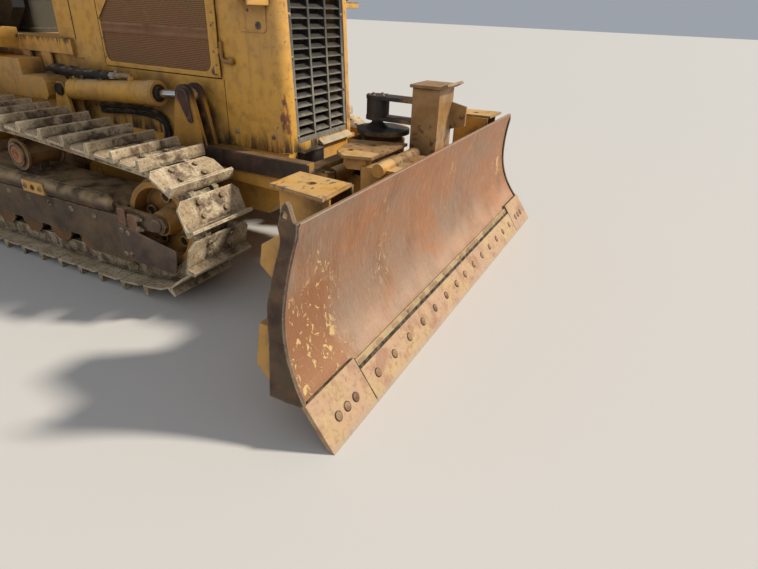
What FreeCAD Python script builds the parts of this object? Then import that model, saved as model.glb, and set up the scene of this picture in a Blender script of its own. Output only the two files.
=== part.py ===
import FreeCAD, Part
import math
import os

# Crawler bulldozer with a power-angle-tilt blade. Millimetres, +X forward, +Y left, +Z up.
# The ground is z = 0 and the origin lies under the middle of the whole length.

# Undercarriage
TRACK_GAUGE = 1500.0          # between the middles of the two tracks
SHOE_WIDTH = 406.0
SHOE_COUNT = 37
SHOE_PLATE = 11.0
SHOE_GAP = 5.0                # between the plates of two shoes on a straight run
GROUSER_HEIGHT = 42.0
GROUSER_TIP = 12.0
GROUSER_ROOT = 26.0
SHOE_CLIP = 34.0              # corner cut off the end of each shoe
LINK_TO_SHOE = 40.0           # pin line to the seat of the shoe
LINK_TO_RAIL = 38.0           # pin line to the rail that rolls on the wheels
LINK_THICK = 32.0
LINK_SPREAD = 150.0           # between the middles of a chain's two rails
CHAIN_PITCH = 173.0           # about; the loop is divided evenly by SHOE_COUNT
BUSHING_RADIUS = 26.0         # of the chain's pins, which the sprocket drives
BUSHING_SIDES = 8
PIN_STAND = 3.0               # pin ends beyond the rails
BEND_FRONT = 45.0             # chain bends this far ahead of the front roller
BEND_REAR = 100.0
RUNNING_GAP = 0.3

IDLER_X = 725.0
IDLER_RADIUS = 215.0
IDLER_LIFT = 40.0             # idler's bottom above the flat run
IDLER_WIDTH = 178.0
IDLER_HUB = 62.0
IDLER_FLANGE_RISE = 16.0

SPROCKET_X = -1545.0
SPROCKET_PIN_RADIUS = 318.0
SPROCKET_LIFT = 20.0
SPROCKET_TEETH = 23
SPROCKET_THICK = 56.0
TOOTH_RISE = 15.0             # tooth tips over the pin circle
TOOTH_TIP = 20.0              # width of a tooth at its tip
GULLET_GAP = 4.0              # between a bushing and its seat on the sprocket
GULLET_SWEEP = (-78.0, -39.0, 0.0, 39.0, 78.0)  # degrees from the sprocket's middle, round the seat
FINAL_DRIVE_RADIUS = 190.0

ROLLER_RADIUS = 85.0
ROLLER_FRONT_X = 425.0
ROLLER_REAR_X = -1165.0
ROLLER_COUNT = 7
ROLLER_SHAFT = 22.0
ROLLER_SIDES = 18             # flat sides of a bottom roller's rims
CARRIER_SIDES = 28            # of a carrier roller's
ROLLER_FLANGE_RISE = 14.0
CARRIER_RADIUS = 75.0
CARRIER_X = -320.0
CARRIER_RISE = 62.0           # chain over the carrier roller above the idler's top run

ROLLER_FRAME_WIDTH = 230.0
ROLLER_FRAME_HEIGHT = 160.0
ROLLER_FRAME_GAP = 14.0       # over the bottom rollers
GUARD_THICK = 16.0
GUARD_LAP_INSIDE = 4.0        # up the side of the roller frame, under the cross tubes
RECOIL_RADIUS = 56.0
FORK_HALF = 12.0

# Main frame and rear case
FRAME_HALF_WIDTH = 338.0
FRAME_BOTTOM = 350.0
FRAME_TOP = 700.0             # the hood stands on it
FRAME_FRONT_X = 1160.0
FRAME_REAR_X = -1300.0
FRAME_PLATE = 25.0
BELLY_PLATE = 16.0
REAR_CASE_HALF_WIDTH = 300.0
REAR_CASE_TOP = 900.0
REAR_CASE_X = -1880.0
REAR_PAD_HALF = 190.0         # bolt pad for a winch, over the drawbar
REAR_PAD_Z = (640.0, 800.0)
REAR_PAD_RISE = 18.0
DRAWBAR_X = -2100.0
CROSS_TUBE_RADIUS = 75.0
CROSS_TUBE_XS = (-480.0, -1190.0)

# Hood, grille and engine
HOOD_HALF_WIDTH = 340.0
HOOD_SKIN = 8.0
HOOD_TOP_FRONT = 1670.0
HOOD_TOP_REAR = 1750.0
NOSE_FRONT_X = 1160.0
NOSE_REAR_X = 770.0
NOSE_LEAN = 3.0               # degrees
NOSE_CORNER = 72.0
COWL_FRONT_X = -170.0
COWL_REAR_X = -375.0
GRILLE_HALF_WIDTH = 250.0
GRILLE_BOTTOM = 735.0
GRILLE_TOP = 1570.0
GRILLE_FRAME = 26.0
GRILLE_DEPTH = 34.0
LOUVRE_ROWS = 17
LOUVRE_COLUMNS = 3
LOUVRE_THICK = 5.0
LOUVRE_SLOPE = 32.0           # degrees
MULLION = 14.0

ENGINE_LENGTH = 760.0
ENGINE_WIDTH = 480.0
ENGINE_BOTTOM = 480.0
ENGINE_TOP = 1250.0
ENGINE_FOOT = 120.0

DOOR_BOTTOM = 1030.0
DOOR_TOP = 1610.0
DOOR_GAP = 5.0
DOOR_THICK = 24.0
MESH_BOTTOM = 1060.0
MESH_TOP = 1570.0
MESH_FRONT_X = 690.0
MESH_REAR_X = -110.0
MESH_CORNER = 50.0
MESH_THICK = 4.0
HINGE_X = 755.0
HINGE_Y = 352.0
HINGE_ROD = 6.0
HINGE_RING = 11.5
HINGE_TABS = (1075.0, 1315.0, 1555.0)
HINGE_RINGS = (1165.0, 1465.0)

EXHAUST_PLACE = (330.0, -110.0)
EXHAUST_RADIUS = 36.0
EXHAUST_BASE_RADIUS = 48.0
EXHAUST_HEIGHT = 560.0
INTAKE_PLACE = (60.0, 120.0)
INTAKE_RADII = (40.0, 95.0)   # neck, head
INTAKE_HEIGHT = 320.0

# C-frame
PIVOT_X = -150.0
PIVOT_Z = 430.0
PIVOT_PIN_RADIUS = 42.0
ARM_MIDDLE_Y = 452.0
ARM_WIDTH = 126.0
RAIL_Y = (420.0, 480.0)       # arm ahead of the lever, where it is narrower
RAIL_BAR = (618.0, 90.0, 12.0)  # bar along the arm's outer side: bottom, height, thickness
ARM_END_RADIUS = 82.0
RAIL_TOP = 710.0
RAIL_HEIGHT = 150.0
RAIL_REAR_X = 760.0
RAIL_KNEE_X = 1372.0
CROSS_REAR_X = 1312.0
CROSS_FRONT_X = 1385.0
CROSS_TOP = 680.0
CROSS_BOTTOM = 540.0
NOSE_BOX_HALF = 124.0
NOSE_BOX_WALL = 12.0
NOSE_BOX_TOP = 775.0
NOSE_BOX_BOTTOM = 450.0
LEVER_PIN_X = 620.0
LEVER_PIN_Z = 950.0
LEVER_PIN_RADIUS = 24.0
LEVER_HEAD_RADIUS = 58.0
LEVER_PLATE = 22.0
LEVER_FOOT = 190.0

# Tilt carrier and the two balls of the blade's angle axis
ANGLE_AXIS_X = 1495.0
LOWER_BALL_Z = 330.0
LOWER_BALL_RADIUS = 46.0
UPPER_BALL_Z = 930.0
UPPER_BALL_RADIUS = 44.0
BALL_NECK_RADIUS = 30.0
FLANGE_X = 1530.0
FLANGE_RADIUS = 140.0
FLANGE_THICK = 22.0
FLANGE_BOTTOM = 806.0
LEVER_ARM_THICK = 26.0
LEVER_ARM_HALF = 38.0
LEVER_ARM_X = 1430.0
TILT_HUB_RADIUS = 50.0
TILT_PIN_RADIUS = 26.0
TILT_CYLINDER_Z = 640.0
TILT_BARREL_RADIUS = 34.0
TILT_ROD_RADIUS = 12.5
TILT_BASE_Y = -385.0
TILT_EYE_RADIUS = 26.0
TILT_EYE_HALF = 14.0
TILT_EYE_PIN = 14.0
TILT_LUG = 12.0
TILT_BARREL_START = 34.0      # base pin to the back of the barrel
TILT_BARREL_END = 205.0
TILT_ROD_LENGTH = 205.0
TILT_PIN_Y = 66.0             # rod's pin to the right of the lever's middle
TILT_WINDOW_X = (1396.0, 1464.0)
TILT_WINDOW_Z = (586.0, 694.0)

# Lift and angle cylinders
LIFT_BASE_X = -390.0
LIFT_BASE_Z = 893.0
LIFT_Y = 440.0
LIFT_BARREL_RADIUS = 61.0
LIFT_BARREL_LENGTH = 710.0
LIFT_BARREL_START = 70.0      # base pin to the back of the barrel
LIFT_ROD_RADIUS = 22.5
LIFT_EYE_RADIUS = 42.0
LIFT_EYE_WIDTH = 50.0
ANGLE_BASE_X = 1305.0
ANGLE_BASE_Y = 210.0
ANGLE_Z = 430.0
ANGLE_PIN_X = 1700.0
ANGLE_PIN_INSET = 465.0       # from the end of the blade to the rod's pin
ANGLE_BARREL_RADIUS = 46.0
ANGLE_BARREL_LENGTH = 455.0
ANGLE_BARREL_START = 60.0
ANGLE_ROD_RADIUS = 20.0
ANGLE_EYE_RADIUS = 40.0
ANGLE_EYE_HEIGHT = 48.0
ANGLE_CLEVIS_GAP = 96.0
YOKE_Y = 150.0                # swing axis of the yoke that carries an angle cylinder
YOKE_HALF = 27.0
YOKE_PIN_RADIUS = 14.0
YOKE_LUG = 14.0

# Blade
EDGE_X = 2100.0               # tip of the cutting edge
BLADE_WIDTH = 2790.0
BLADE_TOP_WIDTH = 2530.0
BLADE_HEIGHT = 768.0
EDGE_SLOPE = 55.0             # degrees from the ground
LOWER_STRAIGHT = 255.0
LOWER_RADIUS = 500.0
UPPER_RADIUS = 1100.0
MOULDBOARD_THICK = 14.0
MOULDBOARD_START = 45.0       # from the tip of the cutting edge
RIB_YS = (330.0, 660.0, 1130.0)
EDGE_THICK = 20.0
EDGE_DEPTH = 150.0
STRIP_DEPTH = 36.0
STRIP_THICK = 12.0
END_BIT_WIDTH = 330.0
END_BIT_DEPTH = 205.0
END_PLATE_THICK = 18.0
END_PLATE_DEPTH = 48.0
END_PLATE_LIP = 8.0           # ahead of the board's front
EAR_RISE = 62.0
EAR_HOLE_RADIUS = 13.0
TOP_BEAM = 110.0
LOWER_BEAM_BOTTOM = 180.0
LOWER_BEAM_TOP = 393.0
LOWER_BEAM_DEPTH = 85.0
BRACKET_PLATE = 14.0
BRACKET_TOP = 800.0
BRACKET_FRONT_X = 1850.0      # just behind the board's top edge
OUTER_BRACKET_HALF = 88.0
OUTER_BRACKET_REAR = 1622.0
OUTER_LID = ((1597.0, -113.0), (1859.0, -155.0), (1850.0, 61.0), (1597.0, 84.0))  # x, y from the rod's pin
OUTER_SLOT = (1726.0, -24.0, 17.0)  # x, y from the rod's pin, radius
INNER_LID = ((1532.0, -467.0), (1497.0, -338.0), (1519.0, -211.0), (1740.0, -140.0), (1730.0, -495.0),
             (1606.0, -534.0))      # x, y
INNER_LID_HOLES = ((1580.0, -423.0), (1624.0, -277.0))
INNER_BODY = ((1560.0, -452.0), (1536.0, -330.0), (1550.0, -228.0), (1700.0, -170.0), (1700.0, -490.0),
              (1615.0, -510.0))     # x, y
INNER_BODY_BOTTOM = 736.0     # over the arms when the blade is angled
INNER_FOOT_X = 1680.0
INNER_FOOT_BOTTOM = 640.0
GUARD_BAR = (1780.0, 30.0, -126.0, -530.0)  # x, radius, and y of both ends
TOWER_HALF = 95.0
TOWER_X = (1730.0, 1870.0)
TOWER_TOP = 1070.0
TOWER_WALL = 14.0
LINK_PLATE = 18.0
LINK_HALF = 52.0
TOWER_FIN = ((1869.0, 850.0), (1948.0, 872.0), (1948.0, 966.0), (1869.0, 982.0))  # x, z

# Operator's station
FLOOR_TOP = 1160.0
FLOOR_PLATE = 12.0
PLATFORM_HALF = 350.0
PLATFORM_REAR_X = -1780.0
PLATFORM_SIDE = 85.0
SIDE_BOX_X = (-1290.0, -485.0)  # beam beside the platform's lower edge
SIDE_BOX_Y = (362.0, 505.0)
SIDE_BOX_Z = (820.0, 950.0)
SIDE_BOX_CUT = 28.0           # corners cut off its front end
SIDE_STEP = (-700.0, 1040.0)  # front and top of the box on the beam
SIDE_HANGERS = ((-880.0, -800.0), (-690.0, -600.0))
SIDE_HANGER_TOP = 1140.0
FENDER_FRONT_X = -900.0
FENDER_REAR_X = -1780.0
FENDER_OUTER_Y = 930.0
FENDER_TOP = 1200.0
FENDER_PLATE = 12.0
TANK_FRONT_X = -1690.0
TANK_REAR_X = -1990.0
TANK_HALF = 510.0
TANK_BOTTOM = 1000.0
TANK_TOP = 1720.0
SIDE_TANK_Y = (-880.0, -420.0)
SIDE_TANK_HEIGHT = 290.0
SIDE_TANK_ROUND = 30.0
TANK_NECK = (-1840.0, 260.0, 46.0, 30.0)  # x, y, radius and height of the filler neck
TANK_CAP = (60.0, 34.0)       # radius, height
SEAT_X = (-1380.0, -900.0)
SEAT_WIDTH = 480.0
SEAT_BASE_HEIGHT = 270.0
SEAT_CUSHION = 110.0
SEAT_BACK = 520.0             # height of the back over the cushion
CONSOLE_Y = (264.0, 340.0)
CONSOLE_X = (-1350.0, -900.0)
CONSOLE_RISE = (400.0, 330.0)  # height over the floor at the back, at the front
CONSOLE_FOOT = 150.0          # slope at the foot of its front
CONSOLE_WALL = 6.0
ARMREST = (-1340.0, -1060.0, 46.0)  # rear, front, thickness
STEER_LEVER_X = -985.0
BLADE_LEVER_X = -985.0
LEVER_RISE = (170.0, 215.0)   # steering lever, blade lever
LEVER_RADIUS = 8.0
LEVER_KNOB = 25.0
LEVER_BOOT = (38.0, 16.0, 46.0)  # foot radius, neck radius, height
DASH_HALF = 190.0
DASH = ((-355.0, 1562.0), (-425.0, 1602.0), (-408.0, 1722.0), (-345.0, 1742.0))  # x, z
PEDAL = (60.0, 90.0, 8.0)     # width, length, thickness
PEDAL_X = -470.0
PEDAL_YS = (-150.0, 150.0)
PEDAL_RISE = 95.0
CANOPY_TOP = 2770.0
CANOPY_THICK = 60.0
CANOPY_FRONT_X = -250.0
CANOPY_REAR_X = -1800.0
CANOPY_HALF = 640.0
POST = 90.0
POST_Y = 560.0
FRONT_POST_X = -330.0
REAR_POST_X = -1640.0
CANOPY_BEAM = 70.0            # beams between the posts under the roof
GUSSET_LEG = 110.0
GUSSET_THICK = 12.0

# Derived heights of the track chain
PIN_BOTTOM = GROUSER_HEIGHT + SHOE_PLATE + LINK_TO_SHOE
IDLER_PIN_RADIUS = math.hypot(IDLER_RADIUS + LINK_TO_RAIL, CHAIN_PITCH / 2)
IDLER_Z = PIN_BOTTOM + IDLER_LIFT + IDLER_RADIUS + LINK_TO_RAIL
SPROCKET_Z = PIN_BOTTOM + SPROCKET_LIFT + SPROCKET_PIN_RADIUS
ROLLER_Z = PIN_BOTTOM + LINK_TO_RAIL + ROLLER_RADIUS + RUNNING_GAP
CARRIER_Z = IDLER_Z + IDLER_RADIUS + CARRIER_RISE - CARRIER_RADIUS
TRACK_Y = TRACK_GAUGE / 2
ANGLE_PIN_Y = BLADE_WIDTH / 2 - ANGLE_PIN_INSET


def vec(x, y, z):
    return FreeCAD.Vector(x, y, z)


def box(x, y, z):
    """Box from three (low, high) pairs."""
    return Part.makeBox(x[1] - x[0], y[1] - y[0], z[1] - z[0], vec(x[0], y[0], z[0]))


def cylinder(start, end, radius):
    axis = end - start
    return Part.makeCylinder(radius, axis.Length, start, axis)


def face_of(points):
    return Part.Face(Part.makePolygon(points + [points[0]]))


def prism_xz(outline, y):
    """Side outline, a list of (x, z), between two values of y."""
    return face_of([vec(px, y[0], pz) for px, pz in outline]).extrude(vec(0, y[1] - y[0], 0))


def prism_xy(outline, z):
    """Plan outline, a list of (x, y), between two heights."""
    return face_of([vec(px, py, z[0]) for px, py in outline]).extrude(vec(0, 0, z[1] - z[0]))


def prism_yz(outline, x):
    """Front outline, a list of (y, z), between two values of x."""
    return face_of([vec(x[0], py, pz) for py, pz in outline]).extrude(vec(x[1] - x[0], 0, 0))


def revolve_y(outline, centre):
    """Turns (radius, y) points about a line along Y through the centre."""
    points = [vec(centre.x, centre.y + py, centre.z + pr) for pr, py in outline]
    return face_of(points).revolve(centre, vec(0, 1, 0), 360)


def mirrored(shape):
    return shape.mirror(vec(0, 0, 0), vec(0, 1, 0))


def joined(shapes):
    result = shapes[0]
    if len(shapes) > 1:
        result = result.fuse(shapes[1:])
    return result.removeSplitter()


def save(node, shape):
    solids = shape.Solids
    result = solids[0] if len(solids) == 1 else Part.makeCompound(solids)
    result.exportStep("parts/%s.step" % node)


def save_pair(node, right):
    """Writes the right-hand piece and its mirror image on the left."""
    save(node + "_right", right)
    save(node + "_left", mirrored(right))


def save_both(node, right):
    """Writes right-hand pieces and their mirror images as the solids of one node."""
    save(node, Part.makeCompound(right + [mirrored(piece) for piece in right]))


def belt(circles):
    """Path of a belt round circles (x, z, radius) given anticlockwise, as (kind, ...) stretches."""
    stretches = []
    tangents = []
    count = len(circles)
    for index in range(count):
        ax, az, ar = circles[index]
        bx, bz, br = circles[(index + 1) % count]
        along = math.atan2(bz - az, bx - ax)
        offset = math.acos((ar - br) / math.hypot(bx - ax, bz - az))
        normal = along - offset
        tangents.append((normal, (ax + ar * math.cos(normal), az + ar * math.sin(normal)),
                         (bx + br * math.cos(normal), bz + br * math.sin(normal))))
    for index in range(count):
        normal, start, end = tangents[index]
        following = tangents[(index + 1) % count][0]
        centre = circles[(index + 1) % count]
        stretches.append(("line", start, end))
        turn = (following - normal) % (2 * math.pi)
        stretches.append(("arc", centre, normal, turn))
    return stretches


def stretch_length(stretch):
    if stretch[0] == "line":
        return math.dist(stretch[1], stretch[2])
    return stretch[1][2] * stretch[3]


def point_at(stretches, distance):
    for stretch in stretches:
        length = stretch_length(stretch)
        if distance <= length:
            share = distance / length if length else 0.0
            if stretch[0] == "line":
                (ax, az), (bx, bz) = stretch[1], stretch[2]
                return (ax + share * (bx - ax), az + share * (bz - az))
            (cx, cz, radius), start, turn = stretch[1], stretch[2], stretch[3]
            angle = start + share * turn
            return (cx + radius * math.cos(angle), cz + radius * math.sin(angle))
        distance -= length
    return point_at(stretches, distance)


def chain_pins():
    """Pin centres (x, z) round the track, anticlockwise seen from the right-hand side."""
    circles = [
        (ROLLER_REAR_X - BEND_REAR, PIN_BOTTOM + IDLER_PIN_RADIUS / 2, IDLER_PIN_RADIUS / 2),
        (ROLLER_FRONT_X + BEND_FRONT, PIN_BOTTOM + IDLER_PIN_RADIUS / 2, IDLER_PIN_RADIUS / 2),
        (IDLER_X, IDLER_Z, IDLER_PIN_RADIUS),
        (CARRIER_X, CARRIER_Z, math.hypot(CARRIER_RADIUS + LINK_TO_RAIL, CHAIN_PITCH / 2)),
        (SPROCKET_X, SPROCKET_Z, SPROCKET_PIN_RADIUS),
    ]
    stretches = belt(circles)
    length = sum(stretch_length(stretch) for stretch in stretches)
    pitch = length / SHOE_COUNT
    first = stretch_length(stretches[0])
    return [point_at(stretches, (first + index * pitch) % length) for index in range(SHOE_COUNT)], pitch


def offset_ring(pins, distance):
    """Corners of the pin polygon with each side moved outward by a distance."""
    corners = []
    count = len(pins)
    for index in range(count):
        (ax, az), (bx, bz), (cx, cz) = pins[index - 1], pins[index], pins[(index + 1) % count]
        before = math.atan2(bz - az, bx - ax)
        after = math.atan2(cz - bz, cx - bx)
        middle = before + ((after - before + math.pi) % (2 * math.pi) - math.pi) / 2
        reach = distance / math.cos(middle - before)
        corners.append((bx + reach * math.sin(middle), bz - reach * math.cos(middle)))
    return corners


def chain_rail(pins, y):
    outer = face_of([vec(px, y[0], pz) for px, pz in offset_ring(pins, LINK_TO_SHOE)])
    inner = face_of([vec(px, y[0], pz) for px, pz in offset_ring(pins, -LINK_TO_RAIL)])
    return outer.cut(inner).extrude(vec(0, y[1] - y[0], 0))


def bushing(x, z, y):
    """Chain pin with its bushing, through both rails."""
    angles = [2 * math.pi * (side + 0.5) / BUSHING_SIDES for side in range(BUSHING_SIDES)]
    return prism_xz([(x + BUSHING_RADIUS * math.cos(angle), z + BUSHING_RADIUS * math.sin(angle))
                     for angle in angles], y)


def track_shoe(pitch):
    """One shoe lying on z = 0, its length along X, the grouser up, with clipped corners."""
    half = pitch / 2 - SHOE_GAP / 2
    top = SHOE_PLATE + GROUSER_HEIGHT
    spread = (GROUSER_ROOT - GROUSER_TIP) / 2
    outline = [(-half, 0), (half, 0), (half, SHOE_PLATE + 6), (half - 4 + spread - GROUSER_ROOT / 2, top),
               (half - 4 - spread - GROUSER_ROOT / 2, top), (half - 4 - GROUSER_ROOT, SHOE_PLATE),
               (-half, SHOE_PLATE)]
    shoe = prism_xz(outline, (-SHOE_WIDTH / 2, SHOE_WIDTH / 2))
    for side in (-1, 1):
        corner = [(-half - 1, side * (SHOE_WIDTH / 2 + 1)), (-half - 1, side * (SHOE_WIDTH / 2 - SHOE_CLIP)),
                  (-half + SHOE_CLIP, side * (SHOE_WIDTH / 2 + 1))]
        shoe = shoe.cut(prism_xy(corner, (-1, top + 1)))
    return shoe


def track(side_y):
    pins, pitch = chain_pins()
    pieces = []
    for offset in (-LINK_SPREAD / 2, LINK_SPREAD / 2):
        middle = side_y + offset
        pieces.append(chain_rail(pins, (middle - LINK_THICK / 2, middle + LINK_THICK / 2)))
    reach = LINK_SPREAD / 2 + LINK_THICK / 2 + PIN_STAND
    pieces.extend([bushing(x, z, (side_y - reach, side_y + reach)) for x, z in pins])
    shoe = track_shoe(pitch)
    for index in range(SHOE_COUNT):
        (ax, az), (bx, bz) = pins[index], pins[(index + 1) % SHOE_COUNT]
        turn = math.atan2(bz - az, bx - ax)
        seat = vec((ax + bx) / 2 + LINK_TO_SHOE * math.sin(turn), side_y,
                   (az + bz) / 2 - LINK_TO_SHOE * math.cos(turn))
        placed = shoe.copy()
        placed.rotate(vec(0, 0, 0), vec(0, 1, 0), -math.degrees(turn) + 180)
        placed.translate(seat)
        pieces.append(placed)
    return joined(pieces)


def idler(side_y):
    rim = LINK_SPREAD / 2 - LINK_THICK / 2 - 6
    half = IDLER_WIDTH / 2
    hub_half = ROLLER_FRAME_WIDTH / 2 - 2 * FORK_HALF - RUNNING_GAP
    web = 14.0
    rim_depth = 34.0
    outline = [(0, -hub_half), (IDLER_HUB, -hub_half), (IDLER_HUB + 12, -web),
               (IDLER_RADIUS - rim_depth, -web), (IDLER_RADIUS - rim_depth + 6, -half),
               (IDLER_RADIUS - RUNNING_GAP, -half), (IDLER_RADIUS - RUNNING_GAP, -rim),
               (IDLER_RADIUS + IDLER_FLANGE_RISE, -rim + 6), (IDLER_RADIUS + IDLER_FLANGE_RISE, rim - 6),
               (IDLER_RADIUS - RUNNING_GAP, rim), (IDLER_RADIUS - RUNNING_GAP, half),
               (IDLER_RADIUS - rim_depth + 6, half), (IDLER_RADIUS - rim_depth, web),
               (IDLER_HUB + 12, web), (IDLER_HUB, hub_half), (0, hub_half)]
    return revolve_y(outline, vec(IDLER_X, side_y, IDLER_Z))


def sprocket_outline():
    """Teeth with a round seat for the chain's bushings at every second gap, set by the rearmost pin."""
    pins = chain_pins()[0]
    seated = [math.atan2(z - SPROCKET_Z, x - SPROCKET_X) for x, z in pins
              if math.hypot(x - SPROCKET_X, z - SPROCKET_Z) < SPROCKET_PIN_RADIUS + 1]
    phase = max(seated, key=abs)
    step = 2 * math.pi / SPROCKET_TEETH
    seat = BUSHING_RADIUS + GULLET_GAP
    tip = SPROCKET_PIN_RADIUS + TOOTH_RISE
    points = []
    for gap in range(SPROCKET_TEETH):
        angle = phase + gap * step
        centre_x = SPROCKET_X + SPROCKET_PIN_RADIUS * math.cos(angle)
        centre_z = SPROCKET_Z + SPROCKET_PIN_RADIUS * math.sin(angle)
        for sweep in GULLET_SWEEP:
            turn = angle + math.pi - math.radians(sweep)
            points.append((centre_x + seat * math.cos(turn), centre_z + seat * math.sin(turn)))
        for side in (-1, 1):
            turn = angle + step / 2 + side * TOOTH_TIP / 2 / tip
            points.append((SPROCKET_X + tip * math.cos(turn), SPROCKET_Z + tip * math.sin(turn)))
    return points


def sprocket(side_y):
    disc = prism_xz(sprocket_outline(), (side_y - SPROCKET_THICK / 2, side_y + SPROCKET_THICK / 2))
    hub_end = side_y - math.copysign(SHOE_WIDTH / 2 - 20, -side_y)
    hub = cylinder(vec(SPROCKET_X, side_y, SPROCKET_Z), vec(SPROCKET_X, hub_end, SPROCKET_Z),
                   FINAL_DRIVE_RADIUS)
    return joined([disc, hub])


def lathe_sides(outline, centre, sides):
    """Turned piece about a line along Y whose rims have a number of flat sides."""
    wires = []
    for radius, y in outline:
        corners = []
        for side in range(sides):
            angle = 2 * math.pi * (side + 0.5) / sides
            x, z = radius * math.cos(angle), radius * math.sin(angle)
            corners.append(centre + vec(x, y, z))
        wires.append(Part.makePolygon(corners + [corners[0]]))
    pieces = []
    for low, high in zip(range(0, len(outline), 2), range(1, len(outline), 2)):
        pieces.append(Part.makeLoft([wires[low], wires[high]], True, True))
    return joined(pieces)


def roller(x, z, radius, side_y, half, sides):
    rim = LINK_SPREAD / 2 + LINK_THICK / 2 + 5
    edge = rim + 14
    flange = radius + ROLLER_FLANGE_RISE
    outline = [(ROLLER_SHAFT, -half), (ROLLER_SHAFT, -edge), (flange, -edge), (flange, -rim),
               (radius, -rim), (radius, rim), (flange, rim), (flange, edge),
               (ROLLER_SHAFT, edge), (ROLLER_SHAFT, half)]
    return lathe_sides(outline, vec(x, side_y, z), sides)


def roller_xs():
    step = (ROLLER_FRONT_X - ROLLER_REAR_X) / (ROLLER_COUNT - 1)
    return [ROLLER_REAR_X + step * index for index in range(ROLLER_COUNT)]


def roller_frame(side_y):
    bottom = ROLLER_Z + ROLLER_RADIUS + ROLLER_FLANGE_RISE + ROLLER_FRAME_GAP
    top = bottom + ROLLER_FRAME_HEIGHT
    half = ROLLER_FRAME_WIDTH / 2
    rear = ROLLER_REAR_X - 30
    front = ROLLER_FRONT_X + 40
    beam = prism_xz([(rear, bottom + 40), (rear + 60, bottom), (front, bottom), (front, top - 60),
                     (front - 90, top), (rear, top)], (side_y - half, side_y + half))
    recoil_z = IDLER_Z
    recoil = cylinder(vec(front - 420, side_y, recoil_z), vec(front + 15, side_y, recoil_z), RECOIL_RADIUS)
    fork = []
    for offset in (-half + FORK_HALF, half - FORK_HALF):
        y = (side_y + offset - FORK_HALF, side_y + offset + FORK_HALF)
        fork.append(prism_xz([(front - 40, IDLER_Z - 55), (IDLER_X + 40, IDLER_Z - 38),
                              (IDLER_X + 60, IDLER_Z), (IDLER_X + 40, IDLER_Z + 38),
                              (front - 40, IDLER_Z + 55)], y))
    bracket = box((CARRIER_X - 40, CARRIER_X + 40), (side_y - 30, side_y + 30), (top - 1, CARRIER_Z - 0.0))
    shaft = cylinder(vec(CARRIER_X, side_y - 40, CARRIER_Z), vec(CARRIER_X, side_y + 40, CARRIER_Z), 24)
    inner = -math.copysign(1, side_y)
    tubes = []
    for tube_x in CROSS_TUBE_XS:
        tubes.append(cylinder(vec(tube_x, -inner * FRAME_HALF_WIDTH, (bottom + top) / 2),
                              vec(tube_x, side_y + inner * (half - 5), (bottom + top) / 2),
                              CROSS_TUBE_RADIUS))
    return joined([beam, recoil, bracket, shaft] + fork + tubes)


def roller_guards(side_y):
    half = ROLLER_FRAME_WIDTH / 2
    bottom = PIN_BOTTOM + LINK_TO_RAIL + 4
    shallow = ROLLER_Z - 10
    top = ROLLER_Z + ROLLER_RADIUS + ROLLER_FLANGE_RISE + ROLLER_FRAME_GAP + 60
    front = ROLLER_FRONT_X + 130
    rear = ROLLER_REAR_X - 130
    plates = []
    for sign in (-1, 1):
        if sign * side_y < 0:
            top = ROLLER_Z + ROLLER_RADIUS + ROLLER_FLANGE_RISE + ROLLER_FRAME_GAP + GUARD_LAP_INSIDE
        outline = [(front - 40, bottom), (front, top), (rear, top), (rear + 40, bottom),
                   (rear + 330, bottom), (rear + 360, shallow), (front - 400, shallow), (front - 360, bottom)]
        inside = side_y + sign * half
        plates.append(prism_xz(outline, tuple(sorted((inside, inside + sign * GUARD_THICK)))))
    return plates


def undercarriage(side_y):
    """Right-hand undercarriage as (node, shape) pairs."""
    half = ROLLER_FRAME_WIDTH / 2
    bottom_rollers = [roller(x, ROLLER_Z, ROLLER_RADIUS, side_y, half - RUNNING_GAP, ROLLER_SIDES)
                      for x in roller_xs()]
    carrier = roller(CARRIER_X, CARRIER_Z, CARRIER_RADIUS, side_y, half, CARRIER_SIDES)
    carrier = carrier.cut(box((CARRIER_X - 41, CARRIER_X + 41), (side_y - 40.3, side_y + 40.3),
                              (0, CARRIER_Z + 30)))
    return [
        ("idlers", [idler(side_y)]),
        ("sprockets", [sprocket(side_y)]),
        ("rollers", bottom_rollers + [carrier]),
        ("roller_frames", [roller_frame(side_y)]),
        ("roller_guards", roller_guards(side_y)),
    ]


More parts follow.
